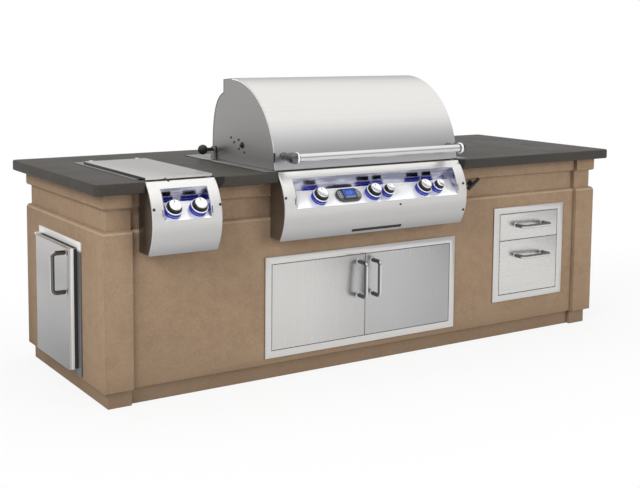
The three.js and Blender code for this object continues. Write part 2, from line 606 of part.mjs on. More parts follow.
function buildGrillBase() {
  const centre = grillCentre;
  const { sheet, tubFront, tubBack, ledgeThickness } = grill;
  const tubFloor = grillLevel.floor;
  const flangeBottom = counterTop + fit.seat;
  const flangeTop = grillFlange;
  const [innerFront, innerBack] = [tubFront + sheet, tubBack - sheet];
  const [innerLeft, innerRight] = [tub.left + sheet, tub.right - sheet];
  const earInner = hoodWidth / 2 + fit.panelGap;
  const flangeHalf = earInner + grill.earWidth + grill.flangeBeyondEar;
  const outer = join(
    block(tub.left, tub.right, tubFront, tubBack, tubFloor, flangeTop),
    block(centre - flangeHalf, centre + flangeHalf, grill.flangeFront, grill.flangeBack, flangeBottom,
      flangeTop),
  );
  const hollow = block(innerLeft, innerRight, innerFront, innerBack, tubFloor + sheet,
    flangeTop + fit.overrun);
  const frontOpening = block(centre - grill.panelWidth / 2 - fit.panelGap,
    centre + grill.panelWidth / 2 + fit.panelGap,
    grill.flangeFront - fit.overrun, tubFront, flangeBottom - fit.overrun, flangeTop + fit.overrun);
  const drain = block(centre - tray.width / 4, centre + tray.width / 4,
    (tubFront + tubBack) / 2 - tray.width / 4,
    (tubFront + tubBack) / 2 + tray.width / 4, tubFloor - fit.overrun, tubFloor + sheet + fit.overrun);
  const ledges = [grillLevel.burner, grillLevel.heat, grillLevel.grid].flatMap((level) => {
    const rear = level === grillLevel.grid ? grill.deckDepth : grill.ledgeDepth;
    return [
      block(tub.left, tub.right, tubFront, innerFront + grill.ledgeDepth, level, level + ledgeThickness),
      block(tub.left, tub.right, innerBack - rear, tubBack, level, level + ledgeThickness),
    ];
  });
  const earOutline = [
    at(hingeAt.back - grill.earRadius, flangeBottom), at(hingeAt.back + grill.earRadius, flangeBottom),
    ...Array.from({ length: steps.rod + 1 }, (_, i) => {
      const angle = (i / steps.rod) * Math.PI;
      return at(hingeAt.back + grill.earRadius * Math.cos(angle),
        hingeAt.height + grill.earRadius * Math.sin(angle));
    }),
  ];
  const ears = [-1, 1].map((hand) => {
    const edges = [centre + hand * earInner,
      centre + hand * (earInner + grill.earWidth)].sort((a, b) => a - b);
    return alongX(earOutline, ...edges);
  });
  const rodBore = rod(hinge.rodRadius + fit.running,
    point(centre - flangeHalf, hingeAt.back, hingeAt.height),
    point(centre + flangeHalf, hingeAt.back, hingeAt.height), steps.bar);
  const railTop = tubFloor + sheet / 2;
  const { railBottom } = grillLevel;
  const rails = [-1, 1].flatMap((hand) => {
    const webInner = tray.width / 2 + fit.running;
    const web = [centre + hand * webInner, centre + hand * (webInner + tray.railSheet)].sort((a,
      b) => a - b);
    const foot = [centre + hand * (webInner - tray.railFoot),
      centre + hand * (webInner + tray.railSheet)].sort((a, b) => a - b);
    return [
      block(...web, tray.railFront, tray.railBack, railBottom, railTop),
      block(...foot, tray.railFront, tray.railBack, railBottom, railBottom + tray.railSheet),
    ];
  });
  const shell = cut(outer, hollow, frontOpening, drain);
  place('firebox', cut(join(shell, ...ledges, ...ears, ...rails), rodBore), finish.steel);

  const pitch = (innerRight - innerLeft) / 3;
  const hands = ['left', 'middle', 'right'];
  hands.forEach((hand, i) => {
    const middle = innerLeft + pitch * (i + 0.5);
    const level = grillLevel.burner + ledgeThickness + fit.seat;
    const [front, back] = [innerFront + burner.margin, innerBack - burner.margin];
    const ringWidth = (burner.width - burner.slotWidth) / 2;
    const loop = roundedOutline(middle - burner.width / 2, middle + burner.width / 2, front, back,
      burner.width / 2 - burner.margin);
    const inside = roundedOutline(middle - burner.slotWidth / 2, middle + burner.slotWidth / 2,
      front + ringWidth, back - ringWidth,
      burner.slotWidth / 2 - burner.margin);
    place(`burner_${hand}`, cut(
      alongZ(loop, level, level + burner.height),
      alongZ(inside, level - fit.overrun, level + burner.height + fit.overrun),
    ), finish.iron);
  });
  hands.forEach((hand, i) => {
    const middle = innerLeft + pitch * (i + 0.5);
    const level = grillLevel.heat + ledgeThickness + fit.seat;
    const half = (pitch - heatPlate.gap) / 2;
    const ridge = [
      at(middle - half, level), at(middle - half + heatPlate.sheet, level),
      at(middle, level + heatPlate.rise - heatPlate.sheet),
      at(middle + half - heatPlate.sheet, level), at(middle + half, level),
      at(middle, level + heatPlate.rise),
    ];
    place(`heat_plate_${hand}`, alongY(ridge, innerFront + burner.margin, innerBack - burner.margin),
      finish.steel);
  });
  hands.forEach((hand, i) => {
    const middle = innerLeft + pitch * (i + 0.5);
    const level = grillLevel.grid + ledgeThickness + fit.seat;
    const half = (pitch - grid.gap) / 2;
    const [front, back] = [innerFront + grid.margin, innerFront + grid.margin + grid.depth];
    place(`cooking_grid_${hand}`, cut(
      block(middle - half, middle + half, front, back, level, level + grid.height),
      ...slots(middle - half + grid.border, middle + half - grid.border, front + grid.border,
        back - grid.border,
        level - fit.overrun, level + grid.height + fit.overrun, grid.bars, grid.barShare),
    ), finish.steel);
  });

  const deck = grillLevel.grid + ledgeThickness + fit.seat;
  const rearFace = innerBack - grid.margin - rearBurner.thickness;
  const [rearLeft, rearRight] = [innerLeft + rearBurner.sideRoom, innerRight - rearBurner.sideRoom];
  place('rear_burner', cut(
    block(rearLeft, rearRight, rearFace, innerBack - grid.margin, deck, deck + rearBurner.height),
    ...slots(rearLeft + rearBurner.border, rearRight - rearBurner.border,
      rearFace - fit.overrun, rearFace + rearBurner.slotDepth, deck + rearBurner.border,
      deck + rearBurner.height - rearBurner.border,
      rearBurner.slots, rearBurner.slotShare),
  ), finish.steel);

  const rackHalf = hoodWidth / 2 - hood.sheet - rack.sideGap;
  const [rackLeft, rackRight] = [centre - rackHalf, centre + rackHalf];
  const legs = [[rackLeft, rackLeft + rack.sheet], [rackRight - rack.sheet, rackRight]];
  place('warming_rack', cut(
    join(
      block(rackLeft, rackRight, rack.front, rack.back, rackLevel, rackLevel + rack.sheet),
      ...legs.map(([a, b]) => block(a, b, rack.legFront, rack.legBack, flangeTop + fit.seat,
        rackLevel + rack.sheet)),
    ),
    ...[0, 1, 2].flatMap((third) => {
      const left = rackLeft + rack.border + (rackRight - rackLeft - rack.border) * third / 3;
      const right = left + (rackRight - rackLeft - rack.border) / 3 - rack.border;
      return Array.from({ length: rack.bars }, (_, i) => {
        const rowPitch = (rack.back - rack.front - rack.border * 2) / rack.bars;
        const y = rack.front + rack.border + i * rowPitch;
        return block(left, right, y, y + rowPitch * rack.barShare, rackLevel - fit.overrun,
          rackLevel + rack.sheet + fit.overrun);
      });
    }),
  ), finish.chrome);

  const trayFront = arcFront(trayFloor, 0) + fit.running;
  const trayHalf = tray.width / 2;
  place('drip_tray', cut(
    block(centre - trayHalf, centre + trayHalf, trayFront, tray.back, trayFloor, trayFloor + tray.height),
    block(centre - trayHalf + tray.sheet, centre + trayHalf - tray.sheet, trayFront + tray.sheet,
      tray.back - tray.sheet,
      trayFloor + tray.sheet, trayFloor + tray.height + fit.overrun),
  ), finish.steel);
}

const hoodFront = (z) => hood.arcBack - hood.reach * Math.sqrt(1 - ((z - hoodAt.arc) / hood.rise) ** 2);

// Hood profile: elliptical front, level crown, a step down and a round shoulder at the back
function hoodOutline(inset, bottom) {
  const [reach, rise] = [hood.reach - inset, hood.rise - inset];
  const start = Math.asin((bottom - hoodAt.arc) / rise);
  const front = Array.from({ length: steps.curve + 1 }, (_, i) => {
    const angle = start + (Math.PI / 2 - start) * i / steps.curve;
    return at(hood.arcBack - reach * Math.cos(angle), hoodAt.arc + rise * Math.sin(angle));
  });
  const crownBack = hoodAt.crownBack - inset;
  const stepTop = at(crownBack, hoodAt.step - inset);
  const rearEnd = at(hoodAt.rearBack - inset, hoodAt.rearWaist);
  const [run, drop] = [rearEnd.x - stepTop.x, stepTop.y - rearEnd.y];
  const shoulder = new THREE.CubicBezierCurve(
    stepTop,
    at(stepTop.x + run * hood.shoulderBackShare, stepTop.y - drop * hood.shoulderDropShare),
    at(rearEnd.x, stepTop.y - drop * hood.waistDropShare),
    rearEnd,
  ).getPoints(steps.shoulder);
  return [...front, at(crownBack, hoodAt.crownTop - inset), ...shoulder].reverse();
}

function buildHood() {
  const centre = grillCentre;
  const [left, right] = [centre - hoodWidth / 2, centre + hoodWidth / 2];
  const outer = [
    ...hoodOutline(0, hoodAt.bottom), at(hingeAt.back, hoodAt.bottom),
    at(hoodAt.rearBack, hoodAt.bottom + hood.rearLift),
  ];
  const innerBottom = hoodAt.bottom - fit.overrun;
  const inner = [...hoodOutline(hood.sheet, innerBottom), at(hoodAt.rearBack - hood.sheet, innerBottom)];
  const bore = rod(hinge.rodRadius + fit.running, point(left - fit.overrun, hingeAt.back, hingeAt.height),
    point(right + fit.overrun, hingeAt.back, hingeAt.height), steps.bar);
  place('hood', cut(alongX(outer, left, right), alongX(inner, left + hood.sheet, right - hood.sheet), bore),
    finish.steel);

  const handleY = hoodFront(handleHeight) - hoodHandle.standoff;
  const bar = (from, to) => rod(hoodHandle.barRadius, point(from, handleY, handleHeight),
    point(to, handleY, handleHeight), steps.bar);
  const half = hoodWidth / 2 - hoodHandle.inset;
  const ends = [-1, 1].map((hand) => handleHub().translate(centre + hand * half, hoodFront(handleHeight),
    handleHeight));
  const hoodFace = alongX([...hoodOutline(-fit.seat, hoodAt.bottom), at(hoodAt.rearBack, hoodAt.bottom)],
    left, right);
  place('hood_handle', cut(join(bar(centre - half, centre + half), ...ends), hoodFace), finish.steel);

  const ballAt = hoodWidth / 2 + hinge.ballReach;
  const balls = [-1, 1].map((hand) => new THREE.SphereGeometry(hinge.ballRadius, steps.bar, steps.bar / 2)
    .rotateZ(Math.PI / 2).translate(centre + hand * ballAt, hingeAt.back, hingeAt.height));
  place('hinge_rod', join(
    rod(hinge.rodRadius, point(centre - ballAt, hingeAt.back, hingeAt.height),
      point(centre + ballAt, hingeAt.back, hingeAt.height), steps.bar),
    ...balls,
  ), finish.black);
}

// Round hub that carries one end of the hood's bar, turned about its way out of the hood's face
function handleHub() {
  const { postRoot, postFoot, neckRadius, neckAt, hubRadius, hubDepth, hubRound } = hoodHandle;
  const front = hoodHandle.standoff + hoodHandle.barRadius;
  const profile = [
    at(0, -fit.overrun * 2), at(postRoot, -fit.overrun * 2), at(postRoot, postFoot), at(neckRadius, neckAt),
    at(hubRadius, front - hubDepth), at(hubRadius, front - hubRound), at(hubRadius - hubRound, front),
    at(0, front),
  ];
  return new THREE.LatheGeometry(profile, steps.bar).rotateX(Math.PI);
}

function buildGrillPanel() {
  const centre = grillCentre;
  const lampX = centre + grillRecess * lampButton.placeShare;
  const lampFront = arcFront(lampHeight, 0);
  place('control_panel', cut(
    fasciaShell(centre, grill.panelWidth, 0),
    recessHole(centre, grillRecess, 0),
    block(centre - trayHalfSlot, centre + trayHalfSlot, arcFront(trayTop, 0) - fit.overrun * 2,
      arcFront(trayTop, 0) + fit.overrun * 3, trayFloor - fit.seat, trayTop),
    rod(lampButton.radius + fit.seat, point(lampX, lampFront - fit.overrun, lampHeight),
      point(lampX, lampFront + fit.overrun * 2, lampHeight), steps.bore),
  ), finish.steel);

  const frame = plateFrame(centre, 0);
  const knobs = knobPlaces.map(({ name, placeShare, size }) => ({ name, size,
    offset: grillRecess * placeShare }));
  place('control_bezel', bezel(centre, grillRecess, 0, knobs, frame), finish.chrome);
  place('light_button', rod(lampButton.radius, point(lampX, lampFront - lampButton.head, lampHeight),
    point(lampX, lampFront + lampButton.stem, lampHeight), steps.bore), finish.black);

  island.add(frame);
  for (const { name, offset, size } of knobs) {
    place(name, knob(size), finish.chrome, frame).position.x = offset;
  }
  const [halfWidth, halfHeight] = [display.width / 2, display.height / 2];
  const displayX = grillRecess * display.placeShare;
  const buttonAt = display.width * padButton.sideShare;
  const pocket = (x) => block(x - padButton.width / 2 - fit.seat, x + padButton.width / 2 + fit.seat,
    -padButton.height / 2 - fit.seat,
    padButton.height / 2 + fit.seat, fit.seat + display.thickness - padButton.thickness,
    display.thickness + fit.overrun);
  place('display_pod', cut(
    alongZ(roundedOutline(-halfWidth, halfWidth, -halfHeight, halfHeight, halfHeight - fit.weld,
      steps.rod / 2), fit.seat, display.thickness),
    block(-display.screenWidth / 2, display.screenWidth / 2, -display.screenHeight / 2,
      display.screenHeight / 2,
      display.thickness - display.screenDepth, display.thickness + fit.overrun),
    pocket(-buttonAt),
    pocket(buttonAt),
  ), finish.screen, frame).position.x = displayX;
  for (const [name, x] of [['display_button_left', -buttonAt], ['display_button_right', buttonAt]]) {
    const low = display.thickness - padButton.thickness + fit.seat * 2 + padButton.travel;
    place(name, block(-padButton.width / 2, padButton.width / 2, -padButton.height / 2,
      padButton.height / 2,
      low, low + padButton.thickness), finish.steel, frame).position.x = displayX + x;
  }
}

function buildSideBurner() {
  const { centre, sheet, tubFront, tubBack } = side;
  const tubFloor = sideLevel.floor;
  const flangeBottom = counterTop + fit.seat;
  const flangeTop = flangeBottom + sheet;
  const [left, right] = [sideTub.left, sideTub.right];
  const pinHeight = flangeTop + side.pinRadius + side.lugRadius / 2 + fit.seat;
  const lidHalf = side.panelWidth / 2 - side.lidInset;
  const flangeHalf = side.panelWidth / 2 + side.flangeBeyondPanel;
  const lugEdges = (hand) => {
    const middle = centre + hand * (lidHalf - side.lugInset);
    return [middle - side.lugWidth / 2, middle + side.lugWidth / 2];
  };
  const ears = [-1, 1].flatMap((hand) => {
    const [a, b] = lugEdges(hand);
    const low = side.pinBack - side.lugRadius;
    const high = side.pinBack + side.lugRadius;
    const top = pinHeight + side.lugRadius;
    return [
      block(a - fit.seat - side.earWidth, a - fit.seat, low + side.earReach, high, flangeBottom, top),
      block(b + fit.seat, b + fit.seat + side.earWidth, low + side.earReach, high, flangeBottom, top),
      rod(side.pinRadius, point(a - side.earWidth, side.pinBack, pinHeight),
        point(b + side.earWidth, side.pinBack, pinHeight), steps.bore),
    ];
  });
  const ledges = [
    block(left, left + side.ledgeWidth, tubFront, tubBack, sideLevel.grate - side.ledgeThickness,
      sideLevel.grate),
    block(right - side.ledgeWidth, right, tubFront, tubBack, sideLevel.grate - side.ledgeThickness,
      sideLevel.grate),
  ];
  const shell = cut(
    join(
      block(left, right, tubFront, tubBack, tubFloor, flangeTop),
      block(centre - flangeHalf, centre + flangeHalf, side.flangeFront, side.flangeBack, flangeBottom,
        flangeTop),
    ),
    block(left + sheet, right - sheet, tubFront + sheet, tubBack - sheet, tubFloor + sheet,
      flangeTop + fit.overrun),
    block(centre - side.panelWidth / 2 - fit.panelGap, centre + side.panelWidth / 2 + fit.panelGap,
      side.flangeFront - fit.overrun,
      tubFront, flangeBottom - fit.overrun, flangeTop + fit.overrun),
  );
  place('side_burner_tub', join(shell, ...ledges, ...ears), finish.steel);

  const burners = [['side_burner_front', -1], ['side_burner_back', 1]];
  for (const [name, hand] of burners) {
    const y = side.burnerMiddle + hand * side.burnerSpacing / 2;
    const floor = tubFloor + sheet + fit.seat;
    const profile = [
      at(0, 0), at(side.burnerStem, 0), at(side.burnerStem, side.burnerHeight / 2),
      at(side.burnerRadius, side.burnerHeight / 2),
      at(side.burnerRadius, side.burnerHeight * 0.75), at(side.burnerCap, side.burnerHeight * 0.75),
      at(side.burnerCap, side.burnerHeight),
      at(0, side.burnerHeight),
    ];
    place(name, new THREE.LatheGeometry(profile, steps.knob).rotateX(Math.PI / 2).translate(centre, y,
      floor), finish.iron);
  }
  for (const [name, hand] of [['side_grate_front', -1], ['side_grate_back', 1]]) {
    const y = side.burnerMiddle + hand * side.burnerSpacing / 2;
    const half = (right - left) / 2 - sheet - side.grateGap;
    const bar = side.grateBar;
    const [low, high] = [sideLevel.grate + fit.seat, sideLevel.grate + fit.seat + bar];
    const window = half - bar;
    const hole = half / 3;
    const pockets = [[-1, -1], [1, -1], [-1, 1], [1, 1]].map(([h, v]) => {
      const xs = [h * bar / 2, h * window].sort((a, b) => a - b);
      const ys = [v * bar / 2, v * window].sort((a, b) => a - b);
      return block(centre + xs[0], centre + xs[1], y + ys[0], y + ys[1], low - fit.overrun,
        high + fit.overrun);
    });
    place(name, cut(
      block(centre - half, centre + half, y - half, y + half, low, high),
      ...pockets,
      block(centre - hole / 2, centre + hole / 2, y - hole / 2, y + hole / 2, low - fit.overrun,
        high + fit.overrun),
    ), finish.iron);
  }

  const lidBottom = flangeTop + fit.seat;
  const lidPan = cut(
    join(
      block(centre - lidHalf, centre + lidHalf, -side.lidFront, side.lidBack, lidBottom,
        lidBottom + side.lidHeight),
      block(centre - side.tabWidth / 2, centre + side.tabWidth / 2, -side.lidFront - side.tabReach,
        fit.overrun - side.lidFront,
        lidBottom + side.lidHeight - side.lidSheet, lidBottom + side.lidHeight),
    ),
    block(centre - lidHalf + side.lidSheet, centre + lidHalf - side.lidSheet, side.lidSheet - side.lidFront,
      side.lidBack - side.lidSheet,
      lidBottom - fit.overrun, lidBottom + side.lidHeight - side.lidSheet),
  );
  const lugs = [-1, 1].flatMap((hand) => {
    const [a, b] = lugEdges(hand);
    return [
      block(a, b, side.lidBack - side.lidSheet / 2, side.pinBack, lidBottom,
        pinHeight + side.lugRadius / 2),
      rod(side.lugRadius, point(a, side.pinBack, pinHeight), point(b, side.pinBack, pinHeight), steps.rod),
    ];
  });
  const pinBore = rod(side.pinRadius + fit.running, point(centre - lidHalf, side.pinBack, pinHeight),
    point(centre + lidHalf, side.pinBack, pinHeight), steps.rod);
  place('side_burner_lid', cut(join(lidPan, ...lugs), pinBore), finish.steel);

  const recessWidth = side.panelWidth - side.recessInset * 2;
  place('side_control_panel', cut(
    fasciaShell(centre, side.panelWidth, side.forward),
    recessHole(centre, recessWidth, side.forward),
  ), finish.steel);
  const frame = plateFrame(centre, side.forward);
  const knobs = [
    { name: 'side_knob_left', offset: -side.knobSpacing / 2, size: largeKnob },
    { name: 'side_knob_right', offset: side.knobSpacing / 2, size: largeKnob },
  ];
  place('side_bezel', bezel(centre, recessWidth, side.forward, knobs, frame), finish.chrome);
  island.add(frame);
  for (const { name, offset, size } of knobs) {
    place(name, knob(size), finish.chrome, frame).position.x = offset;
  }
}

// Bow handle between two feet, standing off along outward
function bowBar(footA, footB, outward) {
  const reach = outward.clone().multiplyScalar(bowHandle.standoff);
  return toGeometry(toSolid(bentBar(
    [footA, footA.clone().add(reach), footB.clone().add(reach), footB], bowHandle.bend, bowHandle.radius,
  )));
}

function buildAccessDoors() {
  const face = body.wallRecess - access.proud;
  const plateBack = body.wallRecess - fit.seat;
  const { left, right } = storage;
  const { bottom, bar, sheet } = access;
  const { top } = storage;
  const handleMiddle = bottom + (top - bottom) * accessHandle.heightShare;
  const jambBack = face + access.jambDepth;
  const shell = cut(
    join(
      block(left, right, face, plateBack, bottom, top),
      block(left + jamb, right - jamb, face, jambBack, bottom + jamb, top - jamb),
    ),
    block(left + bar, right - bar, face - fit.overrun, jambBack + fit.overrun, bottom + bar, top - bar),
    block(left + jamb + sheet, right - jamb - sheet, plateBack, jambBack + fit.overrun,
      bottom + jamb + sheet, top - jamb - sheet),
  );
  const pins = [];
  const blocks = [];
  for (const hand of [-1, 1]) {
    const hingeX = storageCentre + hand * (access.width / 2 - bar - fit.panelGap - access.pinInset);
    const pinY = face + access.pinInset;
    const spanX = [hingeX - hand * access.blockWidth / 2,
      storageCentre + hand * (access.width / 2 - jamb)].sort((a, b) => a - b);
    blocks.push(block(...spanX, face, face + access.blockDepth, top - bar, top - jamb));
    blocks.push(block(...spanX, face, face + access.blockDepth, bottom + jamb, bottom + bar));
    pins.push({ hand, hingeX, pinY });
  }
  const bores = pins.map(({ hingeX, pinY }) => rod(access.pinRadius + fit.running,
    point(hingeX, pinY, bottom + jamb + sheet),
    point(hingeX, pinY, top - jamb - sheet), steps.bore));
  place('door_frame', cut(join(shell, ...blocks), ...bores), finish.steel);

  for (const { hand, hingeX, pinY } of pins) {
    const name = hand < 0 ? 'left' : 'right';
    const outerEdge = storageCentre + hand * (access.width / 2 - bar - fit.panelGap);
    const innerEdge = storageCentre + hand * fit.panelGap / 2;
    const [x0, x1] = [outerEdge, innerEdge].sort((a, b) => a - b);
    const [z0, z1] = [bottom + bar + fit.panelGap, top - bar - fit.panelGap];
    const pinBlock = (a, b) => block(Math.min(outerEdge, hingeX - hand * access.blockWidth / 2),
      Math.max(outerEdge, hingeX - hand * access.blockWidth / 2), face, face + access.blockDepth, a, b);
    place(`access_door_${name}`, join(
      cut(
        block(x0, x1, face, face + access.doorDepth, z0, z1),
        block(x0 + sheet, x1 - sheet, face + sheet, face + access.doorDepth + fit.overrun, z0 + sheet,
          z1 - sheet),
      ),
      pinBlock(z0, z0 + access.blockDepth),
      pinBlock(z1 - access.blockDepth, z1),
      rod(access.pinRadius, point(hingeX, pinY, z0 - access.pinLength),
        point(hingeX, pinY, z0 + access.pinLength), steps.bore),
      rod(access.pinRadius, point(hingeX, pinY, z1 - access.pinLength),
        point(hingeX, pinY, z1 + access.pinLength), steps.bore),
    ), finish.steel);
    const x = storageCentre + hand * accessHandle.offset;
    const foot = (z) => point(x, face - fit.seat, z);
    place(`access_handle_${name}`, bowBar(foot(handleMiddle - bowHandle.doorSpan / 2),
      foot(handleMiddle + bowHandle.doorSpan / 2), point(0, -1, 0)), finish.chrome);
  }
}

function buildDrawers() {
  const face = body.wallRecess - drawers.proud;
  const plateBack = body.wallRecess - fit.seat;
  const { bar, rail, bottom, sheet } = drawers;
  const top = drawerTop;
  const [openLeft, openRight] = [drawerLeft + bar, drawerRight - bar];
  const [openBottom, openTop] = [bottom + rail, top - rail];
  const caseBack = face + drawers.depth;
  const shell = cut(
    join(
      block(drawerLeft, drawerRight, face, plateBack, bottom, top),
      block(drawerCase.left, drawerCase.right, face, caseBack, drawerCase.bottom, drawerCase.top),
    ),
    block(openLeft, openRight, face - fit.overrun, plateBack + fit.overrun, openBottom, openTop),
    block(drawerCase.left + sheet, drawerCase.right - sheet, plateBack, caseBack - sheet,
      drawerCase.bottom + sheet, drawerCase.top - sheet),
  );
  const rows = [
    { name: 'drawer_lower', z0: openBottom + fit.panelGap, z1: drawerSplit - fit.panelGap / 2,
      handleShare: drawers.lowerHandleShare },
    { name: 'drawer_upper', z0: drawerSplit + fit.panelGap / 2, z1: openTop - fit.panelGap,
      handleShare: drawers.upperHandleShare },
  ];
  const runners = rows.flatMap(({ z0 }) => [-1, 1].map((hand) => {
    const wallX = hand < 0 ? drawerCase.left + sheet / 2 : drawerCase.right - sheet / 2;
    const innerX = (hand < 0 ? openLeft : openRight) - hand * drawers.runnerWidth;
    const [a, b] = [wallX, innerX].sort((m, n) => m - n);
    const level = z0 + drawers.runnerRise;
    return block(a, b, plateBack + drawers.frontDepth, caseBack - sheet / 2, level - drawers.runnerHeight,
      level);
  }));
  place('drawer_cabinet', join(shell, ...runners), finish.steel);

  for (const { name, z0, z1, handleShare } of rows) {
    const [x0, x1] = [openLeft + fit.panelGap, openRight - fit.panelGap];
    const level = z0 + drawers.runnerRise + fit.seat;
    const boxHalfGap = drawers.runnerWidth + fit.running * 2;
    const [b0, b1] = [openLeft + boxHalfGap, openRight - boxHalfGap];
    const [f0, f1] = [z0 + drawers.boxFloor, z1 - drawers.boxDrop];
    const frontBack = face + drawers.frontDepth;
    const slides = [[openLeft + fit.running, b0 + drawers.boxSheet],
      [b1 - drawers.boxSheet, openRight - fit.running]];
    place(name, join(
      cut(
        block(x0, x1, face, frontBack, z0, z1),
        block(x0 + sheet, x1 - sheet, face + sheet, frontBack + fit.overrun, z0 + sheet, z1 - sheet),
      ),
      cut(
        block(b0, b1, face + sheet / 2, face + drawers.boxDepth, f0, f1),
        block(b0 + drawers.boxSheet, b1 - drawers.boxSheet, face + drawers.boxSheet,
          face + drawers.boxDepth - drawers.boxSheet,
          f0 + drawers.boxSheet, f1 + fit.overrun),
      ),
      ...slides.map(([a, b]) => block(a, b, frontBack + fit.overrun, face + drawers.boxDepth, level,
        level + drawers.runnerHeight)),
    ), finish.steel);
    const middle = (drawerLeft + drawerRight) / 2;
    const foot = (hand) => point(middle + hand * bowHandle.drawerSpan / 2, face - fit.seat,
      z0 + (z1 - z0) * handleShare);
    place(name.replace('drawer', 'drawer_handle'), bowBar(foot(-1), foot(1), point(0, -1, 0)),
      finish.chrome);
  }
}

function buildFridge() {
  const { proud, wall, depth } = fridge;
  const { insideFront, insideBack, insideBottom, insideTop } = fridgeAt;
  const plateFace = -proud;
  const pin = { x: plateFace - fit.seat - fridge.pinForward, y: fridgeAt.doorBack + fridge.pinBehind };
  const lugLevels = [
    { low: fridgeAt.doorBottom, below: -1 },
    { low: fridgeAt.doorTop - fridge.lugHeight, below: 1 },
  ];
  const bracketSpan = (level) => (level.below < 0
    ? [level.low - fit.seat - fridge.bracketHeight, level.low - fit.seat]
    : [level.low + fridge.lugHeight + fit.seat,
      level.low + fridge.lugHeight + fit.seat + fridge.bracketHeight]);
  const brackets = lugLevels.flatMap((level) => {
    const [z0, z1] = bracketSpan(level);
    const [pinLow, pinHigh] = [Math.min(z0, level.low), Math.max(z1, level.low + fridge.lugHeight)];
    return [
      block(pin.x - fridge.lugReach, -fit.seat, pin.y - fridge.lugReach,
        pin.y - fridge.lugReach + fridge.bracketWidth, z0, z1),
      rod(fridge.pinRadius, point(pin.x, pin.y, pinLow), point(pin.x, pin.y, pinHigh), steps.bore),
    ];
  });
  const ledges = [[insideFront - fit.overrun, insideFront + fridge.shelfLedge],
    [insideBack - fridge.shelfLedge, insideBack + fit.overrun]].map(
    ([a, b]) => block(body.endWall, depth - wall, a, b, fridgeAt.shelf - fridge.shelfSheet, fridgeAt.shelf),
  );
  place('fridge_cabinet', join(
    cut(
      join(
        block(plateFace, -fit.seat, fridge.front, fridgeAt.back, fridge.bottom, fridgeAt.top),
        block(plateFace, depth, insideFront - wall, insideBack + wall, insideBottom - wall,
          insideTop + wall),
      ),
      block(plateFace - fit.overrun, depth - wall, insideFront, insideBack, insideBottom, insideTop),
    ),
    ...ledges,
    ...brackets,
  ), finish.steel);

  const doorBackFace = plateFace - fit.seat;
  const face = doorBackFace - fridge.doorThickness;
  const round = fridge.doorRound;
  const corner = (cx, cy, from) => Array.from({ length: steps.corner + 1 }, (_, i) => {
    const angle = from + (Math.PI / 2) * i / steps.corner;
    return at(cx + round * Math.cos(angle), cy + round * Math.sin(angle));
  });
  const plan = [
    at(doorBackFace, fridgeAt.doorFront), at(doorBackFace, fridgeAt.doorBack),
    ...corner(face + round, fridgeAt.doorBack - round, Math.PI / 2),
    ...corner(face + round, fridgeAt.doorFront + round, Math.PI),
  ];
  const lugs = lugLevels.flatMap(({ low }) => [
    block(pin.x - fridge.lugReach + fit.running, pin.x + fridge.lugReach - fit.running,
      fridgeAt.doorBack - fit.overrun, pin.y, low, low + fridge.lugHeight),
    rod(fridge.lugReach - fit.running, point(pin.x, pin.y, low),
      point(pin.x, pin.y, low + fridge.lugHeight), steps.rod),
  ]);
  place('fridge_door', cut(
    join(alongZ(plan, fridgeAt.doorBottom, fridgeAt.doorTop), ...lugs),
    rod(fridge.pinRadius + fit.running, point(pin.x, pin.y, fridgeAt.doorBottom - fit.overrun),
      point(pin.x, pin.y, fridgeAt.doorTop + fit.overrun), steps.rod),
  ), finish.steel);

  const foot = (z) => point(face - fit.seat, fridgeAt.doorFront + fridge.handleInset, z);
  place('fridge_handle', bowBar(foot(fridgeAt.handle - bowHandle.fridgeSpan / 2),
    foot(fridgeAt.handle + bowHandle.fridgeSpan / 2),
    point(-1, 0, 0)), finish.chrome);

  const shelfBack = depth - wall - fit.panelGap;
  const [s0, s1] = [insideFront + fridge.shelfGap, insideBack - fridge.shelfGap];
  const shelfLow = fridgeAt.shelf + fit.seat;
  place('fridge_shelf', cut(
    block(shelfBack - fridge.shelfDepth, shelfBack, s0, s1, shelfLow, shelfLow + fridge.shelfSheet),
    ...slots(shelfBack - fridge.shelfDepth + fridge.shelfLedge * 2, shelfBack - fridge.shelfLedge * 2,
      s0 + fridge.shelfLedge * 2,
      s1 - fridge.shelfLedge * 2, shelfLow - fit.overrun, shelfLow + fridge.shelfSheet + fit.overrun,
      fridge.shelfBars, fridge.shelfBarShare),
  ), finish.chrome);
}

function buildGasKey() {
  const wallFace = body.wallRecess + band.neckInset - fit.seat;
  const across = grillCentre + grill.panelWidth / 2 + gas.fromPanel;
  const height = neck.bottom + gas.aboveNeckBottom;
  const along = (y) => point(across, y, height);
  const plateFront = wallFace - gas.plateThickness;
  const collarFront = plateFront - gas.collarLength;
  place('gas_plate', cut(
    join(
      rod(gas.plateRadius, along(wallFace), along(plateFront), steps.knob),
      rod(gas.collarRadius, along(wallFace), along(collarFront), steps.rod),
    ),
    rod(gas.stemRadius + fit.running, along(collarFront + gas.socketDepth),
      along(collarFront - fit.overrun), steps.bore),
  ), finish.chrome);
  const tilt = THREE.MathUtils.degToRad(gas.barTilt);
  const stemBack = collarFront + gas.socketDepth - fit.seat;
  const barY = stemBack - gas.stemLength;
  const reach = point(Math.cos(tilt), 0, Math.sin(tilt)).multiplyScalar(gas.barLength / 2);
  place('gas_key', join(
    rod(gas.stemRadius, along(stemBack), along(barY), steps.bore),
    rod(gas.barRadius, along(barY).sub(reach), along(barY).add(reach), steps.bore),
  ), finish.iron);
}

buildCabinet();
buildGrillBase();
buildHood();
buildGrillPanel();
buildSideBurner();
buildAccessDoors();
buildDrawers();
buildFridge();
buildGasKey();

// Centre the whole island over the origin, standing on the floor
island.updateMatrixWorld(true);
const extent = new THREE.Box3().setFromObject(island, true);
const middle = extent.getCenter(new THREE.Vector3());
island.position.set(-middle.x, -middle.y, -extent.min.z);

export default island;
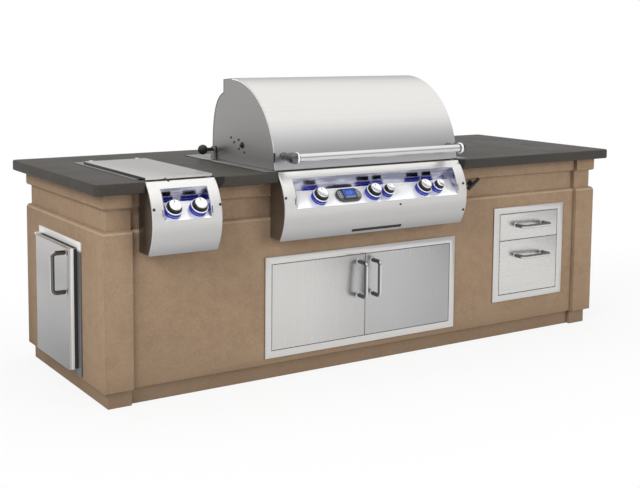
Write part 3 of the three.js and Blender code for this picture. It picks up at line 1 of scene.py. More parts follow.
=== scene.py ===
"""Outdoor kitchen island: finishes, fine sheet metal, controls and studio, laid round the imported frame."""
import json
import math
from functools import cache
import bmesh
import bpy
from bpy.props import FloatProperty, FloatVectorProperty, IntProperty, PointerProperty
from mathutils import Matrix, Vector

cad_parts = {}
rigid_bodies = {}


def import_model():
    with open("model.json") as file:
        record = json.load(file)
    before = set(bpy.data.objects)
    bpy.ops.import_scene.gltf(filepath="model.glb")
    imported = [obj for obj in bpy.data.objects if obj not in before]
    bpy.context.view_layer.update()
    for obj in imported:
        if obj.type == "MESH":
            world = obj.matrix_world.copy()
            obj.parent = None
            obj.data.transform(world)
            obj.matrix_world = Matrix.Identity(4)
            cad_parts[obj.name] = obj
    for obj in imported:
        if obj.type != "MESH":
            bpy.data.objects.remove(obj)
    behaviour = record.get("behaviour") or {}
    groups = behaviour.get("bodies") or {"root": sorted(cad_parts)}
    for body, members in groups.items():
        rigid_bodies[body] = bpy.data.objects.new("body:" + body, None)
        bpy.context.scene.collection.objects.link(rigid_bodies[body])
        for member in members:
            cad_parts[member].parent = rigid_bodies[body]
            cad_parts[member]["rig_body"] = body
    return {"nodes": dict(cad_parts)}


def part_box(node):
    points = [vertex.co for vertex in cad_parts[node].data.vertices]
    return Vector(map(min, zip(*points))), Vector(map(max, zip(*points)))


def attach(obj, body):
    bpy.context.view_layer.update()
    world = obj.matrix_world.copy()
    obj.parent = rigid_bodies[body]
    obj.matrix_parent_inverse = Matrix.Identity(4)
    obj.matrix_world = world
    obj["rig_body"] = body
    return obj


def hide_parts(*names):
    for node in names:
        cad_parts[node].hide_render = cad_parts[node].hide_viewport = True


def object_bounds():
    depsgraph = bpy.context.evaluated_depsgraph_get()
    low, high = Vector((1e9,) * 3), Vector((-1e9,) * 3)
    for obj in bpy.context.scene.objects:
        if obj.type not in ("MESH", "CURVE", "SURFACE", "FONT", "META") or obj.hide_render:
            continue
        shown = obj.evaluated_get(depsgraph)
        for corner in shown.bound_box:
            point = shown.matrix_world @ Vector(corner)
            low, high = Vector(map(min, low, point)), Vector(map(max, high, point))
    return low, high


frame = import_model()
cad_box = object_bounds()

bl_info = {
    "name": "Outdoor kitchen island",
    "version": (1, 0, 0),
    "blender": (4, 5, 0),
    "location": "3D View > Sidebar > Island",
    "description": "Dresses the frame of an outdoor kitchen island with its finishes and fine pieces",
    "category": "Object",
}

PHOTO_SIZE = (640, 488)
SENSOR_WIDTH = 36.0
MM = 0.001

# Corners this close are one, a bezel's clearance in its recess, how far a cutter passes a panel, the
# angle up to which faces are one, and the angle from which an edge is sharp
WELD = 2e-6
SEAT = 0.3 * MM
PAST = 20 * MM
FLAT = math.radians(0.3)
SMOOTH = math.radians(38)

# Cool tint of the steel where painted shade darkens it
BLUISH = (1.0, 1.02, 1.07)

# For each axis, where an outline's first and second number and its level along the axis go
AXES = {"x": (1, 2, 0), "y": (0, 2, 1), "z": (0, 1, 2)}

# Steps of the hood's rolled front and shoulder, and round a knob
FRONT_STEPS = 56
SHOULDER_STEPS = 18
KNOB_STEPS = 56

# Black screws and slots on the panels, measured down from the panel's top edge or up from the recess
SCREW_DROP = 102 * MM
LOW_SCREW_DROP = 226 * MM
SLOT_RISE = 34 * MM
SLOT_GAP = 5 * MM

# Port cover on the hood's side, ahead of the hinge rod and above the hood's bottom, with the screws round
# it in mm, and the bumper at the front
PORT_AHEAD = 255 * MM
PORT_RISE = 83 * MM
PORT_SCREWS = ((102, 27), (32, 22), (74, 8), (28, -18), (-20, -30))
BUMPER_RISE = 34 * MM
BUMPER_HEIGHT = 40 * MM

# Display in mm: left, right, bottom, top and corner radius
GLASS = (-36.5, 36.5, -28, 28, 5)
HOUSING = (-31, 31, -24, 24, 3)
SCREEN = (-30, 30, -13.4, 23.2, 1.5)
POD_HALF_HEIGHT = 33

# Bars of a seven bar digit: top, upper and lower at each side (a b, c d), middle and foot
DIGITS = {"3": "tbmdf", "5": "tamdf", "0": "tabcdf"}
DIGIT_BAR, DIGIT_HALF, DIGIT_WIDTH, DIGIT_STEP = 1.1, 7.5, 7, 11

# How many rods and wires lie in a row
GRID_RODS = 19
RACK_WIRES = 46
SHELF_WIRES = 22

# Studio in metres and watts: each lamp's place, width and height, and power
LAMPS = {
    "key": ((-5.2, -2.6, 3.9), (3.0, 3.0), 330.0),
    "fill": ((3.4, -6.0, 2.4), (4.0, 3.0), 245.0),
    "top": ((0.4, 0.8, 5.2), (5.0, 3.4), 160.0),
}

# Colour of the studio from straight down (0) to straight up (1)
ROOM = (
    (0.0, (0.6, 0.6, 0.6)), (0.48, (0.70, 0.69, 0.68)), (0.55, (0.36, 0.36, 0.36)),
    (0.68, (0.48, 0.48, 0.48)), (0.79, (0.88, 0.88, 0.88)), (0.90, (1.0, 1.0, 0.99)),
    (1.0, (0.90, 0.90, 0.90)),
)


def length(label, note, default):
    """A length that a user may change, in metres."""
    return FloatProperty(name=label, description=note, default=default, unit="LENGTH", precision=4)


def turn(label, note, default):
    """An angle that a user may change."""
    return FloatProperty(name=label, description=note, default=math.radians(default), subtype="ANGLE")


def colour(label, note, default):
    """A linear colour that a user may change."""
    return FloatVectorProperty(
        name=label, description=note, default=default, subtype="COLOR", size=3, min=0.0, max=1.0
    )


def mm(*points):
    """Points given in millimetres."""
    return [tuple(value * MM for value in point) for point in points]


class CabinetLook(bpy.types.PropertyGroup):
    """Cast panels, counter slab and inner boards."""

    sand: colour("Sand", "Main colour of the cast panels", (0.275, 0.190, 0.124))
    clay: colour("Clay", "Redder clouds in the cast panels", (0.222, 0.145, 0.093))
    grain: colour("Grain", "Pale sand grains in the cast panels", (0.44, 0.345, 0.25))
    slab: colour("Slab", "Main colour of the counter", (0.031, 0.0265, 0.0215))
    fleck: colour("Fleck", "Paler flecks in the counter", (0.085, 0.075, 0.064))
    board: colour("Board", "Cement board inside the cabinet", (0.33, 0.32, 0.30))
    panel_edge: length("Panel edge", "Rounding of the cast panels' edges", 2.2 * MM)
    # Height of a painted highlight line on the edge under the neck band
    edge_highlight: length("Edge highlight", "Height of the painted highlight line under the neck band", 707 * MM)
    slab_edge: length("Slab edge", "Rounding of the counter's edges", 2.6 * MM)


class MetalLook(bpy.types.PropertyGroup):
    """Sheet steel, polished steel and cast iron."""

    steel: colour("Steel", "Brushed stainless steel", (0.70, 0.69, 0.675))
    polish: colour("Polish", "Polished steel", (0.80, 0.80, 0.81))
    iron: colour("Iron", "Cast iron", (0.035, 0.033, 0.032))
    black: colour("Black", "Black fittings", (0.012, 0.012, 0.013))
    sheet_edge: length("Sheet edge", "Rounding of sheet metal edges", 0.7 * MM)


class HoodForm(bpy.types.PropertyGroup):
    """Rolled hood with its side plates, hem and handle."""

    reach: length("Reach", "Front to back radius of the rolled front", 382 * MM)
    rise: length("Rise", "Upright radius of the rolled front", 396 * MM)
    crown_depth: length("Crown depth", "Level top behind the rolled front", 80 * MM)
    rear_depth: length("Rear depth", "Shoulder behind the crown", 105 * MM)
    crown_drop: length("Crown drop", "Fall of the crown to its back edge", 8 * MM)
    step_drop: length("Step drop", "Depth of the shoulder's start below the top", 67 * MM)
    waist: length("Waist", "Height of the shoulder's foot above the hood's bottom", 42 * MM)
    rear_lift: length("Rear lift", "Rise of the bottom edge behind the hinge", 7 * MM)
    sheet: length("Sheet", "Thickness of the hood's sheet", 3 * MM)
    side_inset: length("Side inset", "Depth of the side plate behind the rolled edge", 1.6 * MM)
    hem: length("Hem", "Width of the edge that is folded over the side plate", 8 * MM)
    handle_stand: length("Handle stand-off", "Middle of the bar from the hood's face", 89 * MM)
    handle_drop: length("Handle drop", "Middle of the bar below the middle of the handle's reach", 2 * MM)
    bar_radius: length("Bar radius", "Radius of the hood's handle", 17.8 * MM)
    hub_radius: length("Hub radius", "Radius of the posts where they carry the bar", 24 * MM)
    hub_inset: length("Hub inset", "Middle of a post from the hood's side", 44 * MM)
    collar_radius: length("Collar radius", "Radius of the bright collars on the bar", 25 * MM)


class FasciaForm(bpy.types.PropertyGroup):
    """Bulging control panel with its recess and lit rings."""

    radius: length("Radius", "Radius of the bulge", 226.6 * MM)
    arc_drop: length("Arc drop", "Middle of the bulge below the panel's top edge", 160 * MM)
    rolled_edge: length("Rolled edge", "Radius of the panel's rolled side edges", 6 * MM)
    plate_tilt: turn("Plate tilt", "Lean of the knob plate", 45)
    plate_width: length("Plate width", "Slope length of the knob plate", 91.5 * MM)
    plate_sheet: length("Plate sheet", "Thickness of the bezel's sheet", 3 * MM)
    crease: length("Crease", "Radius of the fold behind the knob plate", 5 * MM)
    ring_height: length("Ring height", "Height of the lit ring on the plate", 14 * MM)
    skirt_height: length("Skirt height", "Top of a knob's lit skirt above the plate", 28 * MM)
    knob_height: length("Knob height", "Top of a knob's cap above the plate", 48.5 * MM)
    pod_thickness: length("Pod thickness", "Depth of the display pod", 18 * MM)
    glow: colour("Glow", "Colour of the lit rings", (0.018, 0.030, 0.38))
    screen: colour("Screen", "Colour of the lit display", (0.008, 0.11, 0.72))
    ribs: IntProperty(name="Ribs", description="Grip ribs round each knob", default=30, min=3)


class FittingForm(bpy.types.PropertyGroup):
    """Bow handles, screws, rods and gaskets."""

    bow_radius: length("Bow radius", "Radius of the bow handles", 9.5 * MM)
    bow_bend: length("Bow bend", "Bend radius of the bow handles", 16 * MM)
    foot: length("Foot", "Radius of the collar under a bow handle", 14 * MM)
    screw: length("Screw", "Radius of a screw head", 6.4 * MM)
    grid_rod: length("Grid rod", "Radius of the cooking grids' rods", 4 * MM)
    wire: length("Wire", "Radius of the racks' and shelf's wires", 2.2 * MM)
    gasket: length("Gasket", "Depth of the refrigerator door's gasket", 15 * MM)
    key_radius: length("Key radius", "Radius of the gas key's bar", 9 * MM)
    key_length: length("Key length", "Length of the gas key's bar", 83 * MM)
    key_tilt: turn("Key tilt", "Lean of the gas key's bar at rest", 35)


class StageForm(bpy.types.PropertyGroup):
    """Camera, lamps, floor and backdrop."""

    place: FloatVectorProperty(
        name="Camera place", description="Where the camera stands", subtype="TRANSLATION", unit="LENGTH",
        default=(-2.94692, -4.36352, 1.47727),
    )
    yaw: turn("Yaw", "Camera's turn to the right", math.degrees(0.56836))
    pitch: turn("Pitch", "Camera's tilt downwards", math.degrees(0.10013))
    roll: turn("Roll", "Camera's roll", math.degrees(0.00699))
    focal: FloatProperty(name="Focal length", description="In pixels of the photograph", default=1096.52)
    optic_x: FloatProperty(name="Optical centre x", description="In pixels from the left", default=300.0)
    optic_y: FloatProperty(name="Optical centre y", description="In pixels from the top", default=148.0)
    ambient: FloatProperty(name="Ambient", description="Soft light from all round", default=0.47, min=0.0)
    mirrored: FloatProperty(
        name="Mirrored", description="Extra light of the studio in reflections", default=0.25
    )
    floor_shade: colour("Floor", "Colour of the studio floor", (0.62, 0.61, 0.60))
    floor_radius: length("Floor radius", "Reach of the studio floor", 60.0)


class Term:
    """A shader socket in arithmetic: each operation adds the Math node that works it out."""

    def __init__(self, finish, socket):
        self.finish = finish
        self.socket = socket

    def _math(self, operation, first, second=0.0, clamp=False):
        return self.finish.node(
            "ShaderNodeMath", {"operation": operation, "use_clamp": clamp}, {0: first, 1: second}
        )

    def __add__(self, other):
        return self._math("ADD", self, other)

    def __radd__(self, other):
        return self._math("ADD", other, self)

    def __sub__(self, other):
        return self._math("SUBTRACT", self, other)

    def __rsub__(self, other):
        return self._math("SUBTRACT", other, self)

    def __mul__(self, other):
        return self._math("MULTIPLY", self, other)

    def __rmul__(self, other):
        return self._math("MULTIPLY", other, self)

    def clamped(self):
        """The same value, held between 0 and 1."""
        return self._math("ADD", self, 0.0, clamp=True)


def add_node(tree, kind, settings, inputs):
    """A node of the tree: its settings first, then the values or links of its sockets."""
    made = tree.nodes.new(kind)
    for name, value in (settings or {}).items():
        if name == "stops":
            set_stops(made.color_ramp, value)
        else:
            setattr(made, name, value)
    for key, value in (inputs or {}).items():
        source = value.socket if isinstance(value, Term) else value
        if isinstance(source, bpy.types.NodeSocket):
            tree.links.new(source, made.inputs[key])
        else:
            made.inputs[key].default_value = source
    return made


def set_stops(ramp, stops):
    """The ramp's places and colours."""
    while len(ramp.elements) > 1:
        ramp.elements.remove(ramp.elements[-1])
    for i, (place, shade) in enumerate(stops):
        stop = ramp.elements[0] if i == 0 else ramp.elements.new(place)
        stop.position = place
        stop.color = (*shade, 1.0)


class Finish:
    """A procedural material, built from object coordinates."""

    def __init__(self, name, tree=None):
        self.material = None
        if tree is None:
            self.material = bpy.data.materials.new(name)
            self.material.use_nodes = True
            tree = self.material.node_tree
        self.tree = tree
        self.tree.nodes.clear()

    def node(self, kind, settings=None, inputs=None, output=0):
        """Adds a node, and gives one of its outputs as a term."""
        made = add_node(self.tree, kind, settings, inputs)
        return Term(self, made.outputs[output]) if made.outputs else None

    def place(self, scale=(1.0, 1.0, 1.0)):
        """Object coordinates, stretched along each axis."""
        seat = self.node("ShaderNodeTexCoord", output="Object")
        return self.node("ShaderNodeMapping", {}, {"Vector": seat, "Scale": scale})

    def level(self, axis):
        """How far along an axis the surface lies."""
        return self.node("ShaderNodeSeparateXYZ", {}, {"Vector": self.place()}, output=axis)

    def rays(self):
        """Whether the camera sees the surface, and whether a reflection or clear glass does."""
        path = "ShaderNodeLightPath"
        seen = self.node(path, output="Is Camera Ray")
        return seen, self.node(path, output="Is Glossy Ray") + self.node(path, output="Is Transmission Ray")

    def noise(self, vector, scale, detail=2.0, roughness=0.5):
        inputs = {"Vector": vector, "Scale": scale, "Detail": detail, "Roughness": roughness}
        return self.node("ShaderNodeTexNoise", {}, inputs)

    def band(self, term, low, high):
        """0 below low, 1 above high, smooth between."""
        return self.node(
            "ShaderNodeMapRange", {"interpolation_type": "SMOOTHSTEP"},
            {"Value": term, "From Min": low, "From Max": high},
        )

    def mix(self, factor, first, second):
        """A colour between two colours."""
        tinted = [(*c, 1.0) if isinstance(c, tuple) else c for c in (first, second)]
        return self.node(
            "ShaderNodeMix", {"data_type": "RGBA"}, {0: factor, 6: tinted[0], 7: tinted[1]}, output=2
        )

    def bump(self, height, strength, distance):
        return self.node("ShaderNodeBump", {}, {"Height": height, "Strength": strength, "Distance": distance})

    def surface(self, **sockets):
        """The shader and its output. A name's underscores stand for spaces."""
        inputs = {}
        for name, value in sockets.items():
            key = name.replace("_", " ")
            inputs[key] = (*value, 1.0) if isinstance(value, tuple) and len(value) == 3 else value
        shader = self.node("ShaderNodeBsdfPrincipled", {}, inputs)
        self.node("ShaderNodeOutputMaterial", {}, {"Surface": shader})
        return self.material


def shade_of(group, name):
    """A colour property as a plain tuple."""
    return tuple(getattr(group, name))


def scaled(shade, share):
    """The colour, darker or lighter."""
    return tuple(part * share for part in shade)


def cast_panel():
    """Sand coloured cast panel: clouds, mottles, grains and small pits."""
    look = bpy.context.scene.island_cabinet
    f = Finish("cast panel")
    seat = f.place()
    clouds = f.band(f.noise(seat, 2.6, 5.0, 0.6), 0.36, 0.66)
    mottles = f.band(f.noise(seat, 21.0, 4.0, 0.62), 0.40, 0.64)
    grains = f.noise(seat, 330.0, 3.0, 0.7)
    pale = f.band(grains, 0.56, 0.70)
    dark = f.band(f.noise(seat, 210.0, 2.0, 0.6), 0.62, 0.74)
    freckles = f.band(f.noise(seat, 74.0, 3.0, 0.7), 0.42, 0.66)
    height = f.level("Z")
    # Darker towards the bottom of the panels
    lower_darkening = 1 - f.band(height + 0.05 * mottles, 0.02, 0.16)
    # Painted highlight: a pale line at the height of the edge under the neck band
    from_edge_highlight = height - look.edge_highlight
    edge_highlight = 1 - f.band(from_edge_highlight * from_edge_highlight, 4e-6, 2.5e-5)
    base = f.mix(clouds * 0.40 + mottles * 0.35, shade_of(look, "sand"), shade_of(look, "clay"))
    base = f.mix(freckles * 0.30, base, (0.19, 0.15, 0.085))
    base = f.mix((pale * 0.58 + edge_highlight * 0.40).clamped(), base, shade_of(look, "grain"))
    base = f.mix((dark * 0.34 + lower_darkening * 0.42).clamped(), base, (0.15, 0.105, 0.07))
    relief = grains * 0.55 + mottles * 0.25 - dark * 0.6
    return f.surface(
        Base_Color=base, Roughness=0.93 - 0.12 * pale, Specular_IOR_Level=0.3,
        Normal=f.bump(relief, 0.45, 0.9 * MM),
    )


def counter_stone():
    """Dark honed slab with soft clouds, flecks and fine pits."""
    look = bpy.context.scene.island_cabinet
    f = Finish("counter stone")
    seat = f.place()
    clouds = f.band(f.noise(seat, 5.5, 6.0, 0.62), 0.34, 0.68)
    flecks = f.band(f.noise(seat, 160.0, 3.0, 0.65), 0.57, 0.68)
    pits = f.band(f.noise(seat, 260.0, 2.0, 0.5), 0.66, 0.74)
    slab = shade_of(look, "slab")
    base = f.mix(clouds, scaled(slab, 0.62), slab)
    base = f.mix(flecks * 0.55, base, shade_of(look, "fleck"))
    base = f.mix(pits * 0.7, base, (0.012, 0.011, 0.010))
    return f.surface(
        Base_Color=base, Roughness=0.50 + 0.16 * clouds - 0.06 * flecks,
        Normal=f.bump(flecks * 0.4 - pits + clouds * 0.5, 0.28, 0.5 * MM),
    )


def backer_board():
    """Raw cement board with fibres."""
    look = bpy.context.scene.island_cabinet
    f = Finish("backer board")
    fibres = f.noise(f.place((18.0, 160.0, 18.0)), 1.0, 4.0, 0.7)
    clouds = f.noise(f.place(), 7.0, 5.0, 0.6)
    board = shade_of(look, "board")
    base = f.mix(f.band(clouds, 0.3, 0.7), scaled(board, 0.72), board)
    return f.surface(
        Base_Color=f.mix(f.band(fibres, 0.55, 0.7) * 0.4, base, (0.47, 0.46, 0.43)),
        Roughness=0.9 - 0.1 * clouds,
        Normal=f.bump(fibres, 0.4, 0.6 * MM),
    )


def brushed(name, grain_axis, tone=1.0, gloss=0.30, metal=1.0, painted_shade=None):
    """Brushed stainless steel, its streaks along one axis. Painted shade that darkens the steel towards one
    end is an axis, three places along it and the dark end's tone."""
    look = bpy.context.scene.island_metal
    f = Finish(name)
    fine = [1400.0] * 3
    broad = [120.0] * 3
    for scale, along in ((fine, 9.0), (broad, 1.1)):
        scale["xyz".index(grain_axis)] = along
    hair = f.noise(f.place(tuple(fine)), 1.0, 2.0, 0.55)
    streak = f.noise(f.place(tuple(broad)), 1.0, 4.0, 0.62)
    smear = f.noise(f.place(), 3.1, 4.0, 0.55)
    steel = scaled(shade_of(look, "steel"), tone)
    pale = tuple(min(1.0, part * 1.03) for part in steel)
    base = f.mix(f.band(streak, 0.32, 0.68) * 0.6 + hair * 0.3, scaled(steel, 0.965), pale)
    # Painted shade: the steel darkens, with a cool tint, towards one end of the axis
    if painted_shade:
        axis, first, middle, last, dark = painted_shade
        level = f.level(axis)
        rise = f.band(level, first, middle) * 0.42 + f.band(level, middle, last) * 0.58
        base = f.mix(rise, tuple(part * dark * cast for part, cast in zip(steel, BLUISH)), base)
    return f.surface(
        Base_Color=base, Metallic=metal,
        Roughness=gloss + 0.06 * streak + 0.08 * smear + 0.05 * hair - 0.08,
        Normal=f.bump(hair * 0.7 + streak * 0.3, 0.03, 0.08 * MM),
    )


def polished(name="polished steel", tone=1.0, gloss=0.07, speck=0.0, metal=1.0):
    """Polished steel with faint wipe marks, and specks where it is pitted."""
    look = bpy.context.scene.island_metal
    f = Finish(name)
    smear = f.noise(f.place((9.0, 26.0, 26.0)), 1.0, 4.0, 0.6)
    spots = f.band(f.noise(f.place(), 150.0, 3.0, 0.6), 0.62, 0.8)
    polish = scaled(shade_of(look, "polish"), tone)
    base = f.mix(smear, scaled(polish, 0.93), polish)
    return f.surface(
        Base_Color=f.mix(spots * speck, base, (0.05, 0.05, 0.055)), Metallic=metal,
        Roughness=gloss + 0.09 * smear + 0.12 * spots, Normal=f.bump(smear, 0.02, 0.3 * MM),
    )


def slope_with_painted_reflection():
    """Polished slope behind the knobs, darkened and tinted blue in blotches: painted reflection."""
    f = Finish("bezel slope")
    reflection_blotches = f.band(f.noise(f.place((6.0, 10.0, 34.0)), 1.0, 3.0, 0.6), 0.38, 0.62)
    return f.surface(
        Base_Color=f.mix(reflection_blotches, (0.24, 0.245, 0.32), (0.54, 0.545, 0.65)), Metallic=1.0,
        Roughness=0.09 + 0.12 * reflection_blotches,
    )


def cast_iron():
    """Seasoned cast iron: rough skin with a faint brown cast."""
    look = bpy.context.scene.island_metal
    f = Finish("cast iron")
    skin = f.noise(f.place(), 420.0, 3.0, 0.6)
    rust = f.band(f.noise(f.place(), 26.0, 5.0, 0.65), 0.52, 0.72)
    return f.surface(
        Base_Color=f.mix(rust * 0.5, shade_of(look, "iron"), (0.075, 0.048, 0.033)), Metallic=0.55,
        Roughness=0.58 + 0.2 * skin, Normal=f.bump(skin, 0.5, 0.4 * MM),
    )


def black_fitting(name="black fitting", gloss=0.38, worn=(0.045, 0.044, 0.043)):
    """Satin black plastic or enamel with a fine moulded grain."""
    look = bpy.context.scene.island_metal
    f = Finish(name)
    grain = f.noise(f.place(), 900.0, 2.0, 0.5)
    wear = f.band(f.noise(f.place(), 60.0, 4.0, 0.6), 0.55, 0.75)
    return f.surface(
        Base_Color=f.mix(wear * 0.35, shade_of(look, "black"), worn),
        Roughness=gloss + 0.12 * wear + 0.08 * grain, Normal=f.bump(grain, 0.12, 0.1 * MM),
    )


def rubber():
    """Matt black rubber."""
    f = Finish("rubber")
    dust = f.noise(f.place(), 90.0, 4.0, 0.6)
    return f.surface(
        Base_Color=f.mix(dust, (0.010, 0.010, 0.010), (0.035, 0.034, 0.032)), Roughness=0.72 + 0.15 * dust,
        Normal=f.bump(dust, 0.1, 0.2 * MM),
    )


def pod_shell(name="pod shell", tone=0.10):
    """Grey lacquered housing of the display and its pads."""
    f = Finish(name)
    flake = f.noise(f.place(), 1600.0, 1.0, 0.5)
    cast = f.noise(f.place(), 40.0, 3.0, 0.5)
    dark = (tone * 0.8, tone * 0.82, tone * 0.9)
    return f.surface(
        Base_Color=f.mix(cast * 0.6 + flake * 0.4, dark, scaled(dark, 1.5)), Metallic=0.35,
        Roughness=0.26 + 0.12 * flake, Coat_Weight=0.4, Coat_Roughness=0.08,
    )


def lit(name, shade, strength, coat=0.5, gloss=0.22):
    """A lit ring or screen: its glow is uneven, as from a lamp behind it."""
    f = Finish(name)
    uneven = f.noise(f.place(), 34.0, 2.0, 0.5)
    return f.surface(
        Base_Color=f.mix(uneven, (0.01, 0.01, 0.02), (0.012, 0.012, 0.03)), Roughness=gloss + 0.1 * uneven,
        Emission_Color=f.mix(uneven, scaled(shade, 0.30), shade), Emission_Strength=strength,
        Specular_IOR_Level=0.5 * coat, Coat_Weight=coat, Coat_Roughness=0.05,
    )


@cache
def finish(name):
    """The material of that name, made once."""
    fascia = bpy.context.scene.island_fascia
    makers = {
        "cast": cast_panel,
        "stone": counter_stone,
        "board": backer_board,
        "steel_x": lambda: brushed("brushed steel along x", "x"),
        # Painted shade: the hood's steel darkens towards its bottom edge
        "hood": lambda: brushed("hood steel", "x", painted_shade=("Z", 0.915, 1.04, 1.13, 0.78)),
        "steel_y": lambda: brushed("brushed steel along y", "y"),
        # Painted shade: a darker copy of the steel for the hood's side plates
        "steel_side": lambda: brushed("brushed steel side", "y", tone=0.68, gloss=0.38),
        # Painted shade: a dark copy of the steel for the firebox and the side burner's tub
        "flange": lambda: brushed("counter flange", "y", tone=0.48, gloss=0.36),
        # Painted shade: the control panels' steel darkens towards their foot
        "panel": lambda: brushed(
            "panel steel", "x", tone=1.02, metal=0.72, painted_shade=("Z", 0.59, 0.69, 0.80, 0.44),
        ),
        # Painted shade: a darker copy of the steel for the panels' end faces
        "panel_side": lambda: brushed("panel side", "z", tone=0.44, gloss=0.34),
        # Painted shade: the doors' steel darkens towards the right
        "door": lambda: brushed(
            "door steel", "z", tone=0.95, gloss=0.27, painted_shade=("X", 0.45, 0.0, -0.42, 0.66),
        ),
        "drawer": lambda: brushed("drawer steel", "x", gloss=0.26),
        # Painted shade: the refrigerator door darkens towards its bottom
        "fridge": lambda: brushed(
            "refrigerator door steel", "y", tone=1.04, painted_shade=("Z", 0.10, 0.45, 0.66, 0.40),
        ),
        # Painted shade: the refrigerator frame's steel is dark everywhere below its top strip
        "fridge_frame": lambda: brushed(
            "refrigerator frame steel", "z", tone=1.12, gloss=0.36, metal=0.35,
            painted_shade=("Z", *from_edge("fridge_cabinet", 2, 1, -44, -38, -32), 0.16),
        ),
        # Painted highlight and shade: the door's front edge faces are near white, and dark next to the door's
        # face
        "fridge_edge_highlight_and_shade": lambda: brushed(
            "refrigerator door edge highlight and shade", "z", tone=1.12, gloss=0.26, metal=0.3,
            painted_shade=("X", *from_edge("fridge_door", 0, 0, 7, 11, 14), 0.40),
        ),
        "steel_dark": lambda: brushed("heat darkened steel", "x", tone=0.5, gloss=0.42),
        "polish": polished,
        "bright": lambda: polished("bright rim", tone=1.12, gloss=0.12, metal=0.6),
        "plate": lambda: polished("knob plate", tone=1.09, gloss=0.16, metal=0.45),
        "slope": slope_with_painted_reflection,
        # Painted highlight: a near-white, mostly matt copy of the steel for the hood's folded hems
        "hem": lambda: polished("folded hem", tone=1.10, gloss=0.30, metal=0.2),
        "tube": lambda: polished("polished tube", tone=0.86, gloss=0.12),
        # Dark steel for the hood handle's posts; painted shade on the bow handles and the side burner lid's
        # left side
        "smoked": lambda: polished("dark steel and painted shade", tone=0.20, gloss=0.22),
        "cap": lambda: polished("pitted chrome", tone=1.12, gloss=0.08, speck=0.8),
        "key_metal": lambda: black_fitting("painted key", gloss=0.46, worn=(0.105, 0.058, 0.038)),
        "iron": cast_iron,
        "black": black_fitting,
        "gloss_black": lambda: black_fitting("gloss black", gloss=0.16),
        # Painted shadow: dull black for the strips beside the panels' right ends
        "gap": lambda: black_fitting("painted shadow black", gloss=0.85, worn=(0.008, 0.008, 0.008)),
        "rubber": rubber,
        "pod": lambda: pod_shell(tone=0.055),
        "pad": lambda: pod_shell("pad shell", tone=0.30),
        "glow": lambda: lit("lit ring", shade_of(fascia, "glow"), 1.25, coat=0.1, gloss=0.45),
        "screen": lambda: lit("lit screen", shade_of(fascia, "screen"), 1.0),
        "digit": lambda: lit("screen digits", (0.35, 0.62, 0.95), 1.0),
    }
    return makers[name]()


def from_edge(node, axis, end, *steps):
    """Places so many mm from the node's low (0) or high (1) end along an axis."""
    return [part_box(node)[end][axis] + step * MM for step in steps]


def retint(piece, finish_name, chosen):
    """The chosen faces of the piece take another finish."""
    index = len(piece.data.materials)
    piece.data.materials.append(finish(finish_name))
    for face in piece.data.polygons:
        if chosen(face):
            face.material_index = index
    return piece


def middle_of(node):
    """The middle of the node's box."""
    low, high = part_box(node)
    return (low + high) / 2


def settle(piece, node):
    """The piece stands for the node, and rides on its body."""
    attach(piece, frame["nodes"][node]["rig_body"])
    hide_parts(node)
    return piece


def trim(piece, body):
    """The piece is added to a body, and stands for no node."""
    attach(piece, body)


def link(name, mesh):
    """A new object with that mesh."""
    piece = bpy.data.objects.new(name, mesh)
    bpy.context.scene.collection.objects.link(piece)
    return piece


def keep_folds(mesh):
    """Shades the mesh smooth, with its folds kept sharp."""
    mesh.shade_smooth()
    mesh.set_sharp_from_angle(angle=SMOOTH)


def ease(piece, width, segments=2, angle=30.0):
    """Rounds the piece's sharp edges."""
    bevel = piece.modifiers.new("eased edges", "BEVEL")
    bevel.width = width
    bevel.segments = segments
    bevel.limit_method = "ANGLE"
    bevel.angle_limit = math.radians(angle)
    bevel.harden_normals = True
    bevel.use_clamp_overlap = True
    piece.data.shade_smooth()
    return piece


